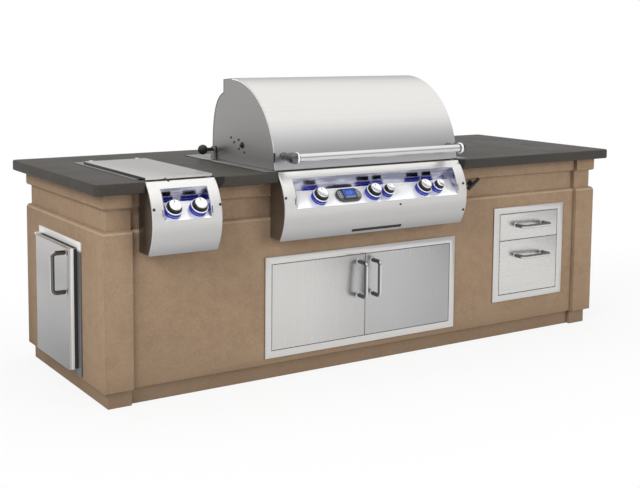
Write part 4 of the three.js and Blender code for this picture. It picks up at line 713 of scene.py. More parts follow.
class Shape:
    """Collects the closed bodies of one piece. The stand places what is added in a local frame."""

    def __init__(self, stand=None):
        self.bm = bmesh.new()
        self.finishes = []
        self.stand = Matrix.Identity(4) if stand is None else stand

    def _corner(self, place):
        return self.bm.verts.new(self.stand @ Vector(place))

    def _close(self, faces, finish_name):
        if finish_name not in self.finishes:
            self.finishes.append(finish_name)
        for face in faces:
            face.material_index = self.finishes.index(finish_name)
        bmesh.ops.recalc_face_normals(self.bm, faces=faces)

    def loft(self, rings, finish_name):
        """A body through closed rings of equal count, with its two ends filled."""
        loops = [[self._corner(p) for p in ring] for ring in rings]
        count = len(loops[0])
        faces = [self.bm.faces.new(loops[0]), self.bm.faces.new(loops[-1])]
        for low, high in zip(loops, loops[1:]):
            for i in range(count):
                j = (i + 1) % count
                faces.append(self.bm.faces.new((low[i], low[j], high[j], high[i])))
        self._close(faces, finish_name)

    def _raised(self, outline, level, axis):
        u, v, w = AXES[axis]
        ring = []
        for a, b in outline:
            place = [0.0, 0.0, 0.0]
            place[u], place[v], place[w] = a, b, level
            ring.append(place)
        return ring

    def prism(self, outline, low, high, axis, finish_name):
        """An outline pushed along an axis. Its two numbers are the other axes, in their order."""
        self.loft([self._raised(outline, low, axis), self._raised(outline, high, axis)], finish_name)

    def ring_prism(self, outer, inner, low, high, axis, finish_name):
        """The wall between two outlines of equal count, pushed along an axis."""
        loops = [
            [self._corner(p) for p in self._raised(outline, level, axis)]
            for outline, level in ((outer, low), (outer, high), (inner, high), (inner, low))
        ]
        faces = []
        for a, b in zip(loops, loops[1:] + loops[:1]):
            for i in range(len(outer)):
                j = (i + 1) % len(outer)
                faces.append(self.bm.faces.new((a[i], a[j], b[j], b[i])))
        self._close(faces, finish_name)

    def turned(self, profile, finish_name, steps=48):
        """A body of revolution about the stand's z axis, its profile from axis to axis or round a ring."""
        rings = []
        for radius, height in profile:
            if radius < WELD:
                rings.append([self._corner((0.0, 0.0, height))])
                continue
            angles = [2 * math.pi * i / steps for i in range(steps)]
            rings.append([self._corner((radius * math.cos(a), radius * math.sin(a), height)) for a in angles])
        following = rings[1:] + (rings[:1] if profile[0][0] >= WELD else [])
        faces = []
        for low, high in zip(rings, following):
            for i in range(steps):
                j = (i + 1) % steps
                corners = [low[i % len(low)], low[j % len(low)], high[j % len(high)], high[i % len(high)]]
                faces.append(self.bm.faces.new(list(dict.fromkeys(corners))))
        self._close(faces, finish_name)

    def block(self, low, high, finish_name):
        corners = [(low[0], low[1]), (high[0], low[1]), (high[0], high[1]), (low[0], high[1])]
        self.prism(corners, low[2], high[2], "z", finish_name)

    def piece(self, name, edge=0.0):
        """The finished object, with its edges eased or kept sharp."""
        mesh = bpy.data.meshes.new(name)
        self.bm.to_mesh(mesh)
        self.bm.free()
        for finish_name in self.finishes:
            mesh.materials.append(finish(finish_name))
        made = link(name, mesh)
        if edge:
            return ease(made, edge)
        keep_folds(mesh)
        return made


def rounded(x0, x1, y0, y1, radius, steps=8):
    """Rectangle with round corners."""
    left, right, bottom, top = x0 + radius, x1 - radius, y0 + radius, y1 - radius
    centres = ((right, top), (left, top), (left, bottom), (right, bottom))
    outline = []
    for quarter, (cx, cy) in enumerate(centres):
        for i in range(steps + 1):
            angle = (quarter + i / steps) * math.pi / 2
            outline.append((cx + radius * math.cos(angle), cy + radius * math.sin(angle)))
    return outline


def stand_on(place, outward):
    """A frame at that place whose z axis points outward."""
    return Matrix.Translation(place) @ Vector(outward).to_track_quat("Z", "Y").to_matrix().to_4x4()


def eased_node(node, finish_name, width, segments=2):
    """The node's own form, its triangles merged into whole faces and its edges eased."""
    bm = bmesh.new()
    bm.from_mesh(frame["nodes"][node].data)
    bmesh.ops.remove_doubles(bm, verts=bm.verts, dist=WELD)
    bmesh.ops.dissolve_limit(bm, angle_limit=FLAT, verts=bm.verts, edges=bm.edges)
    mesh = bpy.data.meshes.new(node + "_finished")
    bm.to_mesh(mesh)
    bm.free()
    mesh.materials.clear()
    mesh.materials.append(finish(finish_name))
    for face in mesh.polygons:
        face.material_index = 0
    piece = ease(link(node + "_finished", mesh), width, segments)
    return settle(piece, node)


def evaluated_mesh(piece):
    """A plain mesh of the piece as its modifiers make it."""
    depsgraph = bpy.context.evaluated_depsgraph_get()
    return bpy.data.meshes.new_from_object(
        piece.evaluated_get(depsgraph), preserve_all_data_layers=True, depsgraph=depsgraph
    )


def face_outwards(mesh):
    """Merges the mesh's doubles and turns its faces outwards."""
    bm = bmesh.new()
    bm.from_mesh(mesh)
    bmesh.ops.remove_doubles(bm, verts=bm.verts, dist=WELD)
    bmesh.ops.recalc_face_normals(bm, faces=bm.faces)
    bm.to_mesh(mesh)
    bm.free()
    keep_folds(mesh)


def carved(piece, cutter):
    """The piece with the cutter's bodies taken out."""
    knife = piece.modifiers.new("openings", "BOOLEAN")
    knife.operation = "DIFFERENCE"
    knife.solver = "EXACT"
    knife.object = cutter
    mesh = evaluated_mesh(piece)
    piece.modifiers.clear()
    old = piece.data
    piece.data = mesh
    bpy.data.meshes.remove(old)
    bpy.data.objects.remove(cutter)
    face_outwards(mesh)
    return piece


class Rule:
    """A geometry tree with named inputs, run on a start shape and then turned into a plain mesh."""

    def __init__(self, name, inputs):
        self.tree = bpy.data.node_groups.new(name, "GeometryNodeTree")
        self.tree.interface.new_socket(name="Geometry", in_out="INPUT", socket_type="NodeSocketGeometry")
        for label, kind in {**inputs, "Finish": "Material"}.items():
            self.tree.interface.new_socket(name=label, in_out="INPUT", socket_type="NodeSocket" + kind)
        self.tree.interface.new_socket(name="Geometry", in_out="OUTPUT", socket_type="NodeSocketGeometry")
        self.start = self.tree.nodes.new("NodeGroupInput").outputs

    def node(self, kind, settings=None, inputs=None):
        """Adds a node, and gives its first output."""
        return add_node(self.tree, kind, settings, inputs).outputs[0]

    def share(self, size, part):
        """A named size times a number."""
        return self.node("ShaderNodeMath", {"operation": "MULTIPLY"}, {0: self.start[size], 1: part})

    def swept(self, line, sides):
        """A round rod along a line, with closed ends."""
        ring = self.node(
            "GeometryNodeCurvePrimitiveCircle", {}, {"Resolution": sides, "Radius": self.start["Radius"]}
        )
        return self.node(
            "GeometryNodeCurveToMesh", {}, {"Curve": line, "Profile Curve": ring, "Fill Caps": True}
        )

    def end(self, *parts):
        """Joins the parts, realizes them and gives them their finish."""
        joined = self.node("GeometryNodeJoinGeometry")
        for part in parts:
            self.tree.links.new(part, joined.node.inputs[0])
        real = self.node("GeometryNodeRealizeInstances", {}, {0: joined})
        dressed = self.node(
            "GeometryNodeSetMaterial", {}, {"Geometry": real, "Material": self.start["Finish"]}
        )
        output = self.tree.nodes.new("NodeGroupOutput")
        self.tree.links.new(dressed, output.inputs[0])
        return self

    def make(self, name, corners, edges, values, finish_name, facing=None, stand=None):
        """Runs the tree on a start shape of corners and edges."""
        mesh = bpy.data.meshes.new(name)
        mesh.from_pydata([tuple(c) for c in corners], edges, [])
        if facing:
            attribute = mesh.attributes.new("facing", "FLOAT_VECTOR", "POINT")
            attribute.data.foreach_set("vector", facing * len(corners))
        piece = link(name, mesh)
        rule = piece.modifiers.new("rule", "NODES")
        rule.node_group = self.tree
        given = {**values, "Finish": finish(finish_name)}
        for item in self.tree.interface.items_tree:
            if item.in_out == "INPUT" and item.name in given:
                rule[item.identifier] = given[item.name]
        made = evaluated_mesh(piece)
        piece.modifiers.clear()
        piece.data = made
        bpy.data.meshes.remove(mesh)
        made.materials.clear()
        made.materials.append(given["Finish"])
        made.polygons.foreach_set("material_index", [0] * len(made.polygons))
        if stand is not None:
            made.transform(stand)
        face_outwards(made)
        return piece


def chain(count):
    """The edges of a line of so many corners."""
    return [(i, i + 1) for i in range(count - 1)]


def rolled_sheet_rule():
    """A profile line pushed along x, then given its thickness."""
    rule = Rule("rolled_sheet", {"Width": "Float", "Sheet": "Float"})
    push = rule.node("ShaderNodeCombineXYZ", {}, {"X": rule.start["Width"]})
    skin = rule.node(
        "GeometryNodeExtrudeMesh", {"mode": "EDGES"},
        {"Mesh": rule.start["Geometry"], "Offset": push, "Offset Scale": 1.0},
    )
    wall = rule.node(
        "GeometryNodeExtrudeMesh", {"mode": "FACES"},
        {"Mesh": skin, "Offset Scale": rule.start["Sheet"], "Individual": False},
    )
    back = rule.node("GeometryNodeFlipFaces", {}, {"Mesh": skin})
    return rule.end(wall, back)


def rods_rule():
    """Equal rods in a row."""
    rule = Rule("row_of_rods", {
        "First": "Vector", "Rod": "Vector", "Step": "Vector", "Count": "Int", "Radius": "Float",
    })
    row = rule.node(
        "GeometryNodeMeshLine", {"mode": "OFFSET"},
        {"Count": rule.start["Count"], "Start Location": rule.start["First"], "Offset": rule.start["Step"]},
    )
    line = rule.node(
        "GeometryNodeCurvePrimitiveLine", {}, {"Start": (0.0, 0.0, 0.0), "End": rule.start["Rod"]}
    )
    rods = rule.node("GeometryNodeInstanceOnPoints", {}, {"Points": row, "Instance": rule.swept(line, 10)})
    return rule.end(rods)


def bent_bar_rule():
    """A round bar along a line of corners, with round bends."""
    rule = Rule("bent_bar", {"Bend": "Float", "Radius": "Float"})
    line = rule.node("GeometryNodeMeshToCurve", {}, {"Mesh": rule.start["Geometry"]})
    bent = rule.node(
        "GeometryNodeFilletCurve", {"mode": "POLY"},
        {"Curve": line, "Count": 10, "Radius": rule.start["Bend"], "Limit Radius": True},
    )
    return rule.end(rule.swept(bent, 24))


def screws_rule():
    """A domed screw head with a hexagon socket on each point, turned to its facing."""
    rule = Rule("screw_heads", {"Radius": "Float", "Height": "Float"})
    facing = rule.node("GeometryNodeInputNamedAttribute", {"data_type": "FLOAT_VECTOR"}, {"Name": "facing"})
    aim = rule.node("FunctionNodeAlignRotationToVector", {"axis": "Z"}, {"Vector": facing})
    head = rule.node("GeometryNodeMeshCone", {"fill_type": "NGON"}, {
        "Vertices": 20, "Radius Top": rule.share("Radius", 0.62), "Radius Bottom": rule.start["Radius"],
        "Depth": rule.start["Height"],
    })
    bolt = rule.node("GeometryNodeMeshCylinder", {"fill_type": "NGON"}, {
        "Vertices": 6, "Radius": rule.share("Radius", 0.34), "Depth": rule.share("Height", 1.25),
    })
    whole = rule.node("GeometryNodeJoinGeometry")
    for part in (head, bolt):
        rule.tree.links.new(part, whole.node.inputs[0])
    heads = rule.node(
        "GeometryNodeInstanceOnPoints", {},
        {"Points": rule.start["Geometry"], "Instance": whole, "Rotation": aim},
    )
    return rule.end(heads)


def ribs_rule():
    """Small grip ribs in a ring about the z axis."""
    rule = Rule("grip_ribs", {"Ribs": "Int", "Ring": "Float", "Rib": "Float", "Tall": "Float"})
    ring = rule.node(
        "GeometryNodeMeshCircle", {"fill_type": "NONE"},
        {"Vertices": rule.start["Ribs"], "Radius": rule.start["Ring"]},
    )
    rib = rule.node(
        "GeometryNodeMeshCylinder", {"fill_type": "NGON"},
        {"Vertices": 8, "Radius": rule.start["Rib"], "Depth": rule.start["Tall"]},
    )
    ribs = rule.node("GeometryNodeInstanceOnPoints", {}, {"Points": ring, "Instance": rib})
    return rule.end(ribs)


@cache
def rule_for(name):
    """The geometry tree of that name, made once."""
    makers = {
        "sheet": rolled_sheet_rule, "rods": rods_rule, "bar": bent_bar_rule, "screws": screws_rule,
        "ribs": ribs_rule,
    }
    return makers[name]()


def sheet_from(name, profile, x0, width, sheet, finish_name):
    """Sheet metal bent along a profile in y and z."""
    corners = [(x0, y, z) for y, z in profile]
    sizes = {"Width": width, "Sheet": sheet}
    return rule_for("sheet").make(name, corners, chain(len(corners)), sizes, finish_name)


def rods_from(name, first, rod, step, count, radius, finish_name):
    """A row of equal rods, from the first one's start on."""
    values = {"First": tuple(first), "Rod": tuple(rod), "Step": tuple(step), "Count": count, "Radius": radius}
    return rule_for("rods").make(name, [(0.0, 0.0, 0.0)], [], values, finish_name)


def wires_across(low, high, inset, z, count, wire):
    """A row of wires that run from front to back within a box."""
    first = (low.x + 2 * wire, low.y + inset, z)
    step = (high.x - low.x - 4 * wire) / (count - 1)
    return rods_from(
        "wires", first, (0, high.y - low.y - 2 * inset, 0), (step, 0, 0), count, wire, "polish"
    )


def bar_from(name, corners, bend, radius, finish_name):
    """A round bar through its corners."""
    sizes = {"Bend": bend, "Radius": radius}
    return rule_for("bar").make(name, corners, chain(len(corners)), sizes, finish_name)


def rim_from(x0, x1, y0, y1, z, overlap, bend, radius, finish_name):
    """A level bar bent round a rectangle, with its ends near one corner."""
    corners = [(x0, y0, z), (x1, y0, z), (x1, y1, z), (x0, y1, z), (x0, y0 + overlap, z)]
    return bar_from("rim", corners, bend, radius, finish_name)


def screws_on(name, places, facing, radius, body):
    """Black screw heads on a surface, as one piece of their body."""
    sizes = {"Radius": radius, "Height": radius * 0.55}
    trim(rule_for("screws").make(name, places, [], sizes, "black", facing=facing), body)


def joined(name, pieces):
    """One piece made of several plain meshes with their own finishes."""
    bm = bmesh.new()
    finishes = []
    for piece in pieces:
        for material in piece.data.materials:
            if material not in finishes:
                finishes.append(material)
        before = len(bm.faces)
        bm.from_mesh(piece.data)
        bm.faces.ensure_lookup_table()
        index = [finishes.index(m) for m in piece.data.materials]
        for face in bm.faces[before:]:
            face.material_index = index[face.material_index]
        bpy.data.objects.remove(piece)
    mesh = bpy.data.meshes.new(name)
    bm.to_mesh(mesh)
    bm.free()
    for material in finishes:
        mesh.materials.append(material)
    keep_folds(mesh)
    return link(name, mesh)


class MakeCabinet(bpy.types.Operator):
    """Cast panels, counter slab and inner boards."""

    bl_idname = "island.cabinet"
    bl_label = "Cabinet and counter"

    def execute(self, context):
        look = context.scene.island_cabinet
        for node in ("left_end_panel", "right_end_panel", "front_wall", "back_wall"):
            eased_node(node, "cast", look.panel_edge, 3)
        eased_node("countertop", "stone", look.slab_edge, 3)
        for node in ("left_bulkhead", "right_bulkhead"):
            eased_node(node, "board", 1.0 * MM)
        return {"FINISHED"}


class MakeFirebox(bpy.types.Operator):
    """Firebox with burners, heat plates, grids, rear burner, rack and drip tray."""

    bl_idname = "island.firebox"
    bl_label = "Firebox and its inside"

    def grid(self, node, fittings):
        """A cooking grid: a round bar frame with a row of rods and three ties under them."""
        low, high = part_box(node)
        radius = fittings.grid_rod
        z = (low.z + high.z) / 2
        x0, x1, y0, y1 = low.x + radius, high.x - radius, low.y + radius, high.y - radius
        step, gap = (x1 - x0) / (GRID_RODS + 1), (y1 - y0) / 4
        rim = rim_from(x0, x1, y0, y1, z, radius, radius * 2, radius, "steel_y")
        rods = rods_from(
            "rods", (x0 + step, y0, z), (0, y1 - y0, 0), (step, 0, 0), GRID_RODS, radius, "steel_y"
        )
        ties = rods_from(
            "ties", (x0, y0 + gap, z - radius), (x1 - x0, 0, 0), (0, gap, 0), 3, radius * 0.5, "steel_x"
        )
        settle(joined(node + "_rods", [rim, rods, ties]), node)

    def rack(self, fittings):
        """Warming rack: wires on two rails, with two bent legs."""
        low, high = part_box("warming_rack")
        wire = fittings.wire
        thick, spread = wire * 1.6, 50 * MM
        z, foot = high.z - wire, low.z + 2 * wire
        near, far = low.y + wire * 2, high.y - wire * 2
        rails = rods_from(
            "rails", (low.x, near, z), (high.x - low.x, 0, 0), (0, far - near, 0), 2, thick, "polish"
        )
        parts = [rails, wires_across(low, high, 2 * wire, z, RACK_WIRES, wire)]
        middle = (low.y + high.y) / 2
        for x in (low.x + 2 * wire, high.x - 2 * wire):
            corners = [
                (x, middle - spread, z), (x, middle - spread / 2, foot),
                (x, middle + spread / 2, foot), (x, middle + spread, z),
            ]
            parts.append(bar_from("leg", corners, 8 * MM, thick, "polish"))
        settle(joined("warming_rack_wires", parts), "warming_rack")

    def execute(self, context):
        fittings = context.scene.island_fittings
        sheet_edge = context.scene.island_metal.sheet_edge
        # Firebox in the dark steel of painted shade
        eased_node("firebox", "flange", sheet_edge)
        tray = eased_node("drip_tray", "steel_x", sheet_edge / 2)
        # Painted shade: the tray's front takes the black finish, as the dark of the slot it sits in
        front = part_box("drip_tray")[0].y + 4 * MM
        retint(tray, "black", lambda face: face.center.y < front)
        eased_node("rear_burner", "steel_x", sheet_edge)
        for hand in ("left", "middle", "right"):
            eased_node("burner_" + hand, "iron", 2.0 * MM, 3)
            eased_node("heat_plate_" + hand, "steel_dark", 1.0 * MM)
            self.grid("cooking_grid_" + hand, fittings)
        self.rack(fittings)
        return {"FINISHED"}


def hood_places(scene):
    """The middle of the hood's rolled front in y and z, and its box."""
    form = scene.island_hood
    low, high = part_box("hood")
    return high.y - form.rear_depth - form.crown_depth, high.z - form.rise, low, high


def hood_profile(scene, inset):
    """Front, crown, step and shoulder in y and z, from the front's bottom edge to the waist at the back."""
    form = scene.island_hood
    arc_y, arc_z, low, high = hood_places(scene)
    reach, rise = form.reach - inset, form.rise - inset
    start = math.asin((low.z - arc_z) / rise)
    profile = []
    for i in range(FRONT_STEPS + 1):
        angle = start + (math.pi / 2 - start) * i / FRONT_STEPS
        profile.append((arc_y - reach * math.cos(angle), arc_z + rise * math.sin(angle)))
    crown = arc_y + form.crown_depth - inset
    profile.append((crown, arc_z + form.rise - form.crown_drop - inset))
    step = Vector((crown, arc_z + form.rise - form.step_drop - inset))
    rear = Vector((high.y - inset, low.z + form.waist))
    run, drop = rear.x - step.x, step.y - rear.y
    pull = Vector((step.x + run * 0.75, step.y - drop * 0.09))
    hang = Vector((rear.x, step.y - drop * 0.42))
    for i in range(SHOULDER_STEPS + 1):
        t = i / SHOULDER_STEPS
        p = step * (1 - t) ** 3 + pull * 3 * t * (1 - t) ** 2 + hang * 3 * t * t * (1 - t) + rear * t ** 3
        profile.append((p.x, p.y))
    return profile


def hood_face(scene, z):
    """How far forward the hood's face lies at a height."""
    arc_y, arc_z, _, _ = hood_places(scene)
    form = scene.island_hood
    return arc_y - form.reach * math.sqrt(1 - ((z - arc_z) / form.rise) ** 2)


class MakeHood(bpy.types.Operator):
    """Rolled hood with side plates, folded hems, port cover, handle and hinge rod."""

    bl_idname = "island.hood"
    bl_label = "Hood"

    def shell(self, scene):
        """Rolled skin, side plates under a folded hem, and the lip turned in along the front's bottom."""
        form = scene.island_hood
        low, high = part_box("hood")
        profile = hood_profile(scene, 0.0) + [(high.y, low.z + form.rear_lift)]
        skin = sheet_from("skin", profile, low.x, high.x - low.x, -form.sheet, "hood")
        left, right = low.x + form.side_inset, high.x - form.side_inset
        outline = hood_profile(scene, form.sheet)
        outline += [(high.y - form.sheet, low.z + form.rear_lift), (high.y - form.rear_lift * 3, low.z)]
        sides = Shape()
        # Side plates in the darker steel of painted shade
        for at, to in ((left, left + form.sheet), (right - form.sheet, right)):
            sides.prism(outline, at, to, "x", "steel_side")
        outer, inner = hood_profile(scene, form.sheet * 0.4), hood_profile(scene, form.hem)
        hem = outer[:FRONT_STEPS + 1] + inner[FRONT_STEPS::-1]
        # Folded hems in the painted highlight finish
        for at, to in ((low.x + SEAT, left), (right, high.x - SEAT)):
            sides.prism(hem, at, to, "x", "hem")
        face = hood_face(scene, low.z)
        near, far, top = face + form.sheet, face + 16 * MM, low.z + 2 * MM
        lip = Shape()
        lip.prism(
            [(near, low.z), (far, low.z), (far, top), (near, top)],
            low.x + form.sheet * 2, high.x - form.sheet * 2, "x", "steel_x",
        )
        shell = joined("hood_shell", [skin, sides.piece("sides"), lip.piece("lip")])
        settle(ease(shell, 0.5 * MM, angle=45.0), "hood")

    def side_fittings(self, scene):
        """Port cover with its screws, front bumpers and rod bushes on the hood's sides."""
        inset = scene.island_hood.side_inset
        low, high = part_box("hood")
        hinge = middle_of("hinge_rod")
        foot = low.z + BUMPER_RISE
        front = hood_face(scene, foot) + 2 * MM
        made = Shape()
        for x, hand in ((low.x + inset, -1.0), (high.x - inset, 1.0)):
            made.stand = stand_on((x, hinge.y, hinge.z), (hand, 0, 0))
            made.turned(mm((0, 0), (15, 0), (15, 3), (12, 4.5), (0, 4.5)), "black")
            made.stand = Matrix.Identity(4)
            near, far = sorted((x - hand * 0.5 * MM, x + hand * 4.5 * MM))
            made.block((near, front, foot), (far, front + 9 * MM, foot + BUMPER_HEIGHT), "rubber")
        x, y, z = low.x + inset, hinge.y - PORT_AHEAD, low.z + PORT_RISE
        made.stand = stand_on((x, y, z), (-1, 0, 0))
        made.turned(mm((0, 0), (15, 0), (15, 2), (9, 3), (8, 9), (5, 11), (0, 11)), "black")
        trim(made.piece("hood_side_fittings", 0.8 * MM), "hood")
        places = [(x, y + back, z + up) for back, up in mm(*PORT_SCREWS)]
        screws_on("hood_side_screws", places, (-1, 0, 0), 6 * MM, "hood")

    def handle(self, scene):
        """Polished bar with a bright collar at each end, on two dark posts that swell out of the face."""
        form = scene.island_hood
        low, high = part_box("hood")
        z = middle_of("hood_handle").z - form.handle_drop
        face = hood_face(scene, z)
        out = form.handle_stand / MM
        hub, collar = form.hub_radius / MM, form.collar_radius / MM
        x0, x1 = low.x + form.hub_inset, high.x - form.hub_inset
        made = Shape(stand_on((x0, face - form.handle_stand, z), (1, 0, 0)))
        made.turned([(0, 0), (form.bar_radius, 0), (form.bar_radius, x1 - x0), (0, x1 - x0)], "tube", 64)
        for x, inward in ((x0, 1.0), (x1, -1.0)):
            made.stand = stand_on((x, face, z), (0, -1, 0))
            made.turned(mm(
                (0, 1), (18, 1), (18, 5), (15, 8), (12.5, 14), (12.5, 24), (16, 34), (15.5, 37), (19.5, 47),
                (19, 50), (22.5, 60), (22, 63), (hub, out - 18), (hub, out + 8), (hub - 3, out + 16),
                (hub - 9, out + 20), (0, out + 21),
            ), "smoked", 40)
            made.stand = stand_on((x, face - form.handle_stand, z), (inward, 0, 0))
            made.turned(mm(
                (0, 3), (collar - 1, 3), (collar, 4), (collar, 10.5), (collar - 1.6, 12.5), (collar - 5, 13),
                (0, 13),
            ), "bright")
        settle(made.piece("hood_handle_bar"), "hood_handle")

    def hinge_rod(self):
        """The rod that the hood turns on, with a ball knob at each end."""
        low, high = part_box("hinge_rod")
        ball, neck, arcs = (high.z - low.z) / 2, 8 * MM, 16
        span = high.x - low.x - ball * 2
        profile = [(0, -ball)]
        for i in range(1, arcs):
            angle = math.pi * i / arcs
            if ball * math.sin(angle) > neck or angle < 1:
                profile.append((ball * math.sin(angle), -ball * math.cos(angle)))
        profile += [(neck, ball * 0.94), (neck, span - ball * 0.94)]
        profile += [(r, span - h) for r, h in reversed(profile[1:-2])] + [(0, span + ball)]
        made = Shape(stand_on((low.x + ball, (low.y + high.y) / 2, (low.z + high.z) / 2), (1, 0, 0)))
        made.turned(profile, "black", 40)
        settle(made.piece("hinge_rod_turned"), "hinge_rod")

    def execute(self, context):
        self.shell(context.scene)
        self.side_fittings(context.scene)
        self.handle(context.scene)
        self.hinge_rod()
        return {"FINISHED"}


class Fascia:
    """Where a bulging panel, its recess and its knob plate lie, from the panel's and the bezel's boxes."""

    def __init__(self, scene, panel, bezel):
        form = scene.island_fascia
        self.form = form
        self.low, self.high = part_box(panel)
        self.arc_y = self.low.y + form.radius
        self.arc_z = self.high.z - form.arc_drop
        bezel_low, bezel_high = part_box(bezel)
        self.left, self.right = bezel_low.x - SEAT, bezel_high.x + SEAT
        self.sill, self.head = bezel_low.z - SEAT, bezel_high.z + SEAT
        self.bottom = Vector((self.front(self.sill), self.sill))
        slope = Vector((math.sin(form.plate_tilt), math.cos(form.plate_tilt)))
        self.crease = self.bottom + slope * form.plate_width
        self.top = Vector((self.front(self.head), self.head))

    def front(self, z):
        """Where the bulge lies at a height."""
        return self.arc_y - math.sqrt(self.form.radius ** 2 - (z - self.arc_z) ** 2)

    def outline(self, inset, steps=40):
        """Bulge, bottom and back of the panel, drawn in by inset except at the back."""
        radius = self.form.radius - inset
        high = math.asin((self.high.z - inset - self.arc_z) / radius)
        low = math.asin((self.low.z + inset - self.arc_z) / radius)
        outline = []
        for i in range(steps + 1):
            angle = high + (low - high) * i / steps
            outline.append((self.arc_y - radius * math.cos(angle), self.arc_z + radius * math.sin(angle)))
        return outline + [(self.high.y, self.low.z + inset), (self.high.y, self.high.z - inset)]

    def stand(self, x):
        """A frame on the knob plate at that x: z out of the plate, y up its slope."""
        centre = (self.bottom + self.crease) / 2
        lean = Matrix.Rotation(math.pi / 2 - self.form.plate_tilt, 4, "X")
        return Matrix.Translation((x, centre.x, centre.y)) @ lean

    def recess(self):
        """The opening for the bezel, as the low and the high corner of a cut."""
        return (self.left, self.low.y - PAST, self.sill), (self.right, self.crease.x + 4 * MM, self.head)

    def screw_place(self, x, drop):
        """A place for a screw head, so far below the panel's top edge."""
        z = self.high.z - drop
        return x, self.front(z) - 0.6 * MM, z


def panel_body(area, name, cuts):
    """The bulging panel as a loft with rolled side edges, with its openings cut."""
    rings = []
    steps = 6
    edge = area.form.rolled_edge
    for side, hand in ((area.low.x, 1.0), (area.high.x, -1.0)):
        ends = []
        for i in range(steps + 1):
            angle = math.pi / 2 * i / steps
            x = side + hand * edge * (1 - math.cos(angle))
            inset = edge * (1 - math.sin(angle))
            ends.append([(x, y, z) for y, z in area.outline(inset)])
        rings += ends if hand > 0 else ends[::-1]
    body = Shape()
    body.loft(rings, "panel")
    cutter = Shape()
    for low, high in cuts:
        cutter.block(low, high, "panel")
    made = carved(body.piece(name), cutter.piece("openings"))
    # Painted shade: the panel's end faces take the darker steel
    return retint(made, "panel_side", lambda face: abs(face.normal.x) > 0.95)


def painted_shadow_strip(area, name, width):
    """Black strip on the counter's front edge beside the panel's right end: painted shadow of the panel."""
    low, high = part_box("countertop")
    x = area.high.x - 3 * MM
    bend, end = x + width * 0.4, x + width
    foot, middle, top = low.z - 4 * MM, (low.z + high.z) / 2, high.z - 1 * MM
    outline = [(x, foot), (bend, foot), (end, middle), (end, top), (x, top)]
    made = Shape()
    made.prism(outline, low.y - 1.4 * MM, low.y + 2 * MM, "y", "gap")
    trim(made.piece(name, 0.5 * MM), "root")


def end_slots(area, name):
    """A dark slot beside each end of the recess."""
    z = area.sill + SLOT_RISE
    lean = (z - area.arc_z) / area.form.radius
    made = Shape()
    for x in (area.left - SLOT_GAP, area.right + SLOT_GAP):
        made.stand = stand_on((x, area.front(z), z), (0, -math.sqrt(1 - lean * lean), lean))
        made.block(*mm((-1.6, -14, -2), (1.6, 14, 0.6)), "black")
    trim(made.piece(name, 0.3 * MM), "root")


def bezel_body(area, name, knobs):
    """Recessed bezel: bent sheet, cheeks, and a lit ring round each knob."""
    form = area.form
    sheet = form.plate_sheet
    clear = Vector((0.0, SEAT))
    lower, upper, fold = area.bottom + clear, area.top - clear, area.crease
    start = fold + (lower - fold).normalized() * form.crease
    end = fold + (upper - fold).normalized() * form.crease
    bends = []
    for i in range(9):
        t = i / 8
        bends.append(start * (1 - t) ** 2 + fold * 2 * t * (1 - t) + end * t * t)
    profile = [tuple(p) for p in (lower, *bends, upper)]
    x0, x1 = area.left + SEAT, area.right - SEAT
    bent = sheet_from("bent", profile, x0, x1 - x0, sheet, "plate")
    # Painted reflection: the slope above the crease takes the dark bluish finish
    retint(bent, "slope", lambda face: face.center.z > fold.y + form.crease * 0.5)
    arc = []
    for i in range(1, 10):
        z = upper.y + (lower.y - upper.y) * i / 10
        arc.append((area.front(z), z))
    cheek = [tuple(lower), (fold.x + sheet, fold.y), tuple(upper), *arc]
    parts = Shape()
    # Cheeks in the dark bluish finish of painted reflection
    for at, to in ((x0, x0 + sheet), (x1 - sheet, x1)):
        parts.prism(cheek, at, to, "x", "slope")
    tall = form.ring_height / MM
    neck, bore = tall - 1.8, 5.6
    for knob in knobs:
        low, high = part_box(knob)
        outer = (high.x - low.x) / 2 / MM + 1.5
        parts.stand = area.stand((low.x + high.x) / 2)
        for finish_name, profile in (
            ("polish", ((bore, -1), (outer, -1), (outer, 1.2), (bore, 1.2))),
            ("glow", ((bore, 1.2), (outer - 0.8, 1.2), (outer - 0.8, neck), (bore, neck))),
            # Ring tops in the dark bluish finish of painted reflection
            ("slope", (
                (bore, neck), (outer - 0.3, neck), (outer, tall - 1), (outer - 0.6, tall), (bore, tall),
            )),
        ):
            parts.turned(mm(*profile), finish_name, KNOB_STEPS)
    return joined(name, [bent, parts.piece("parts")])


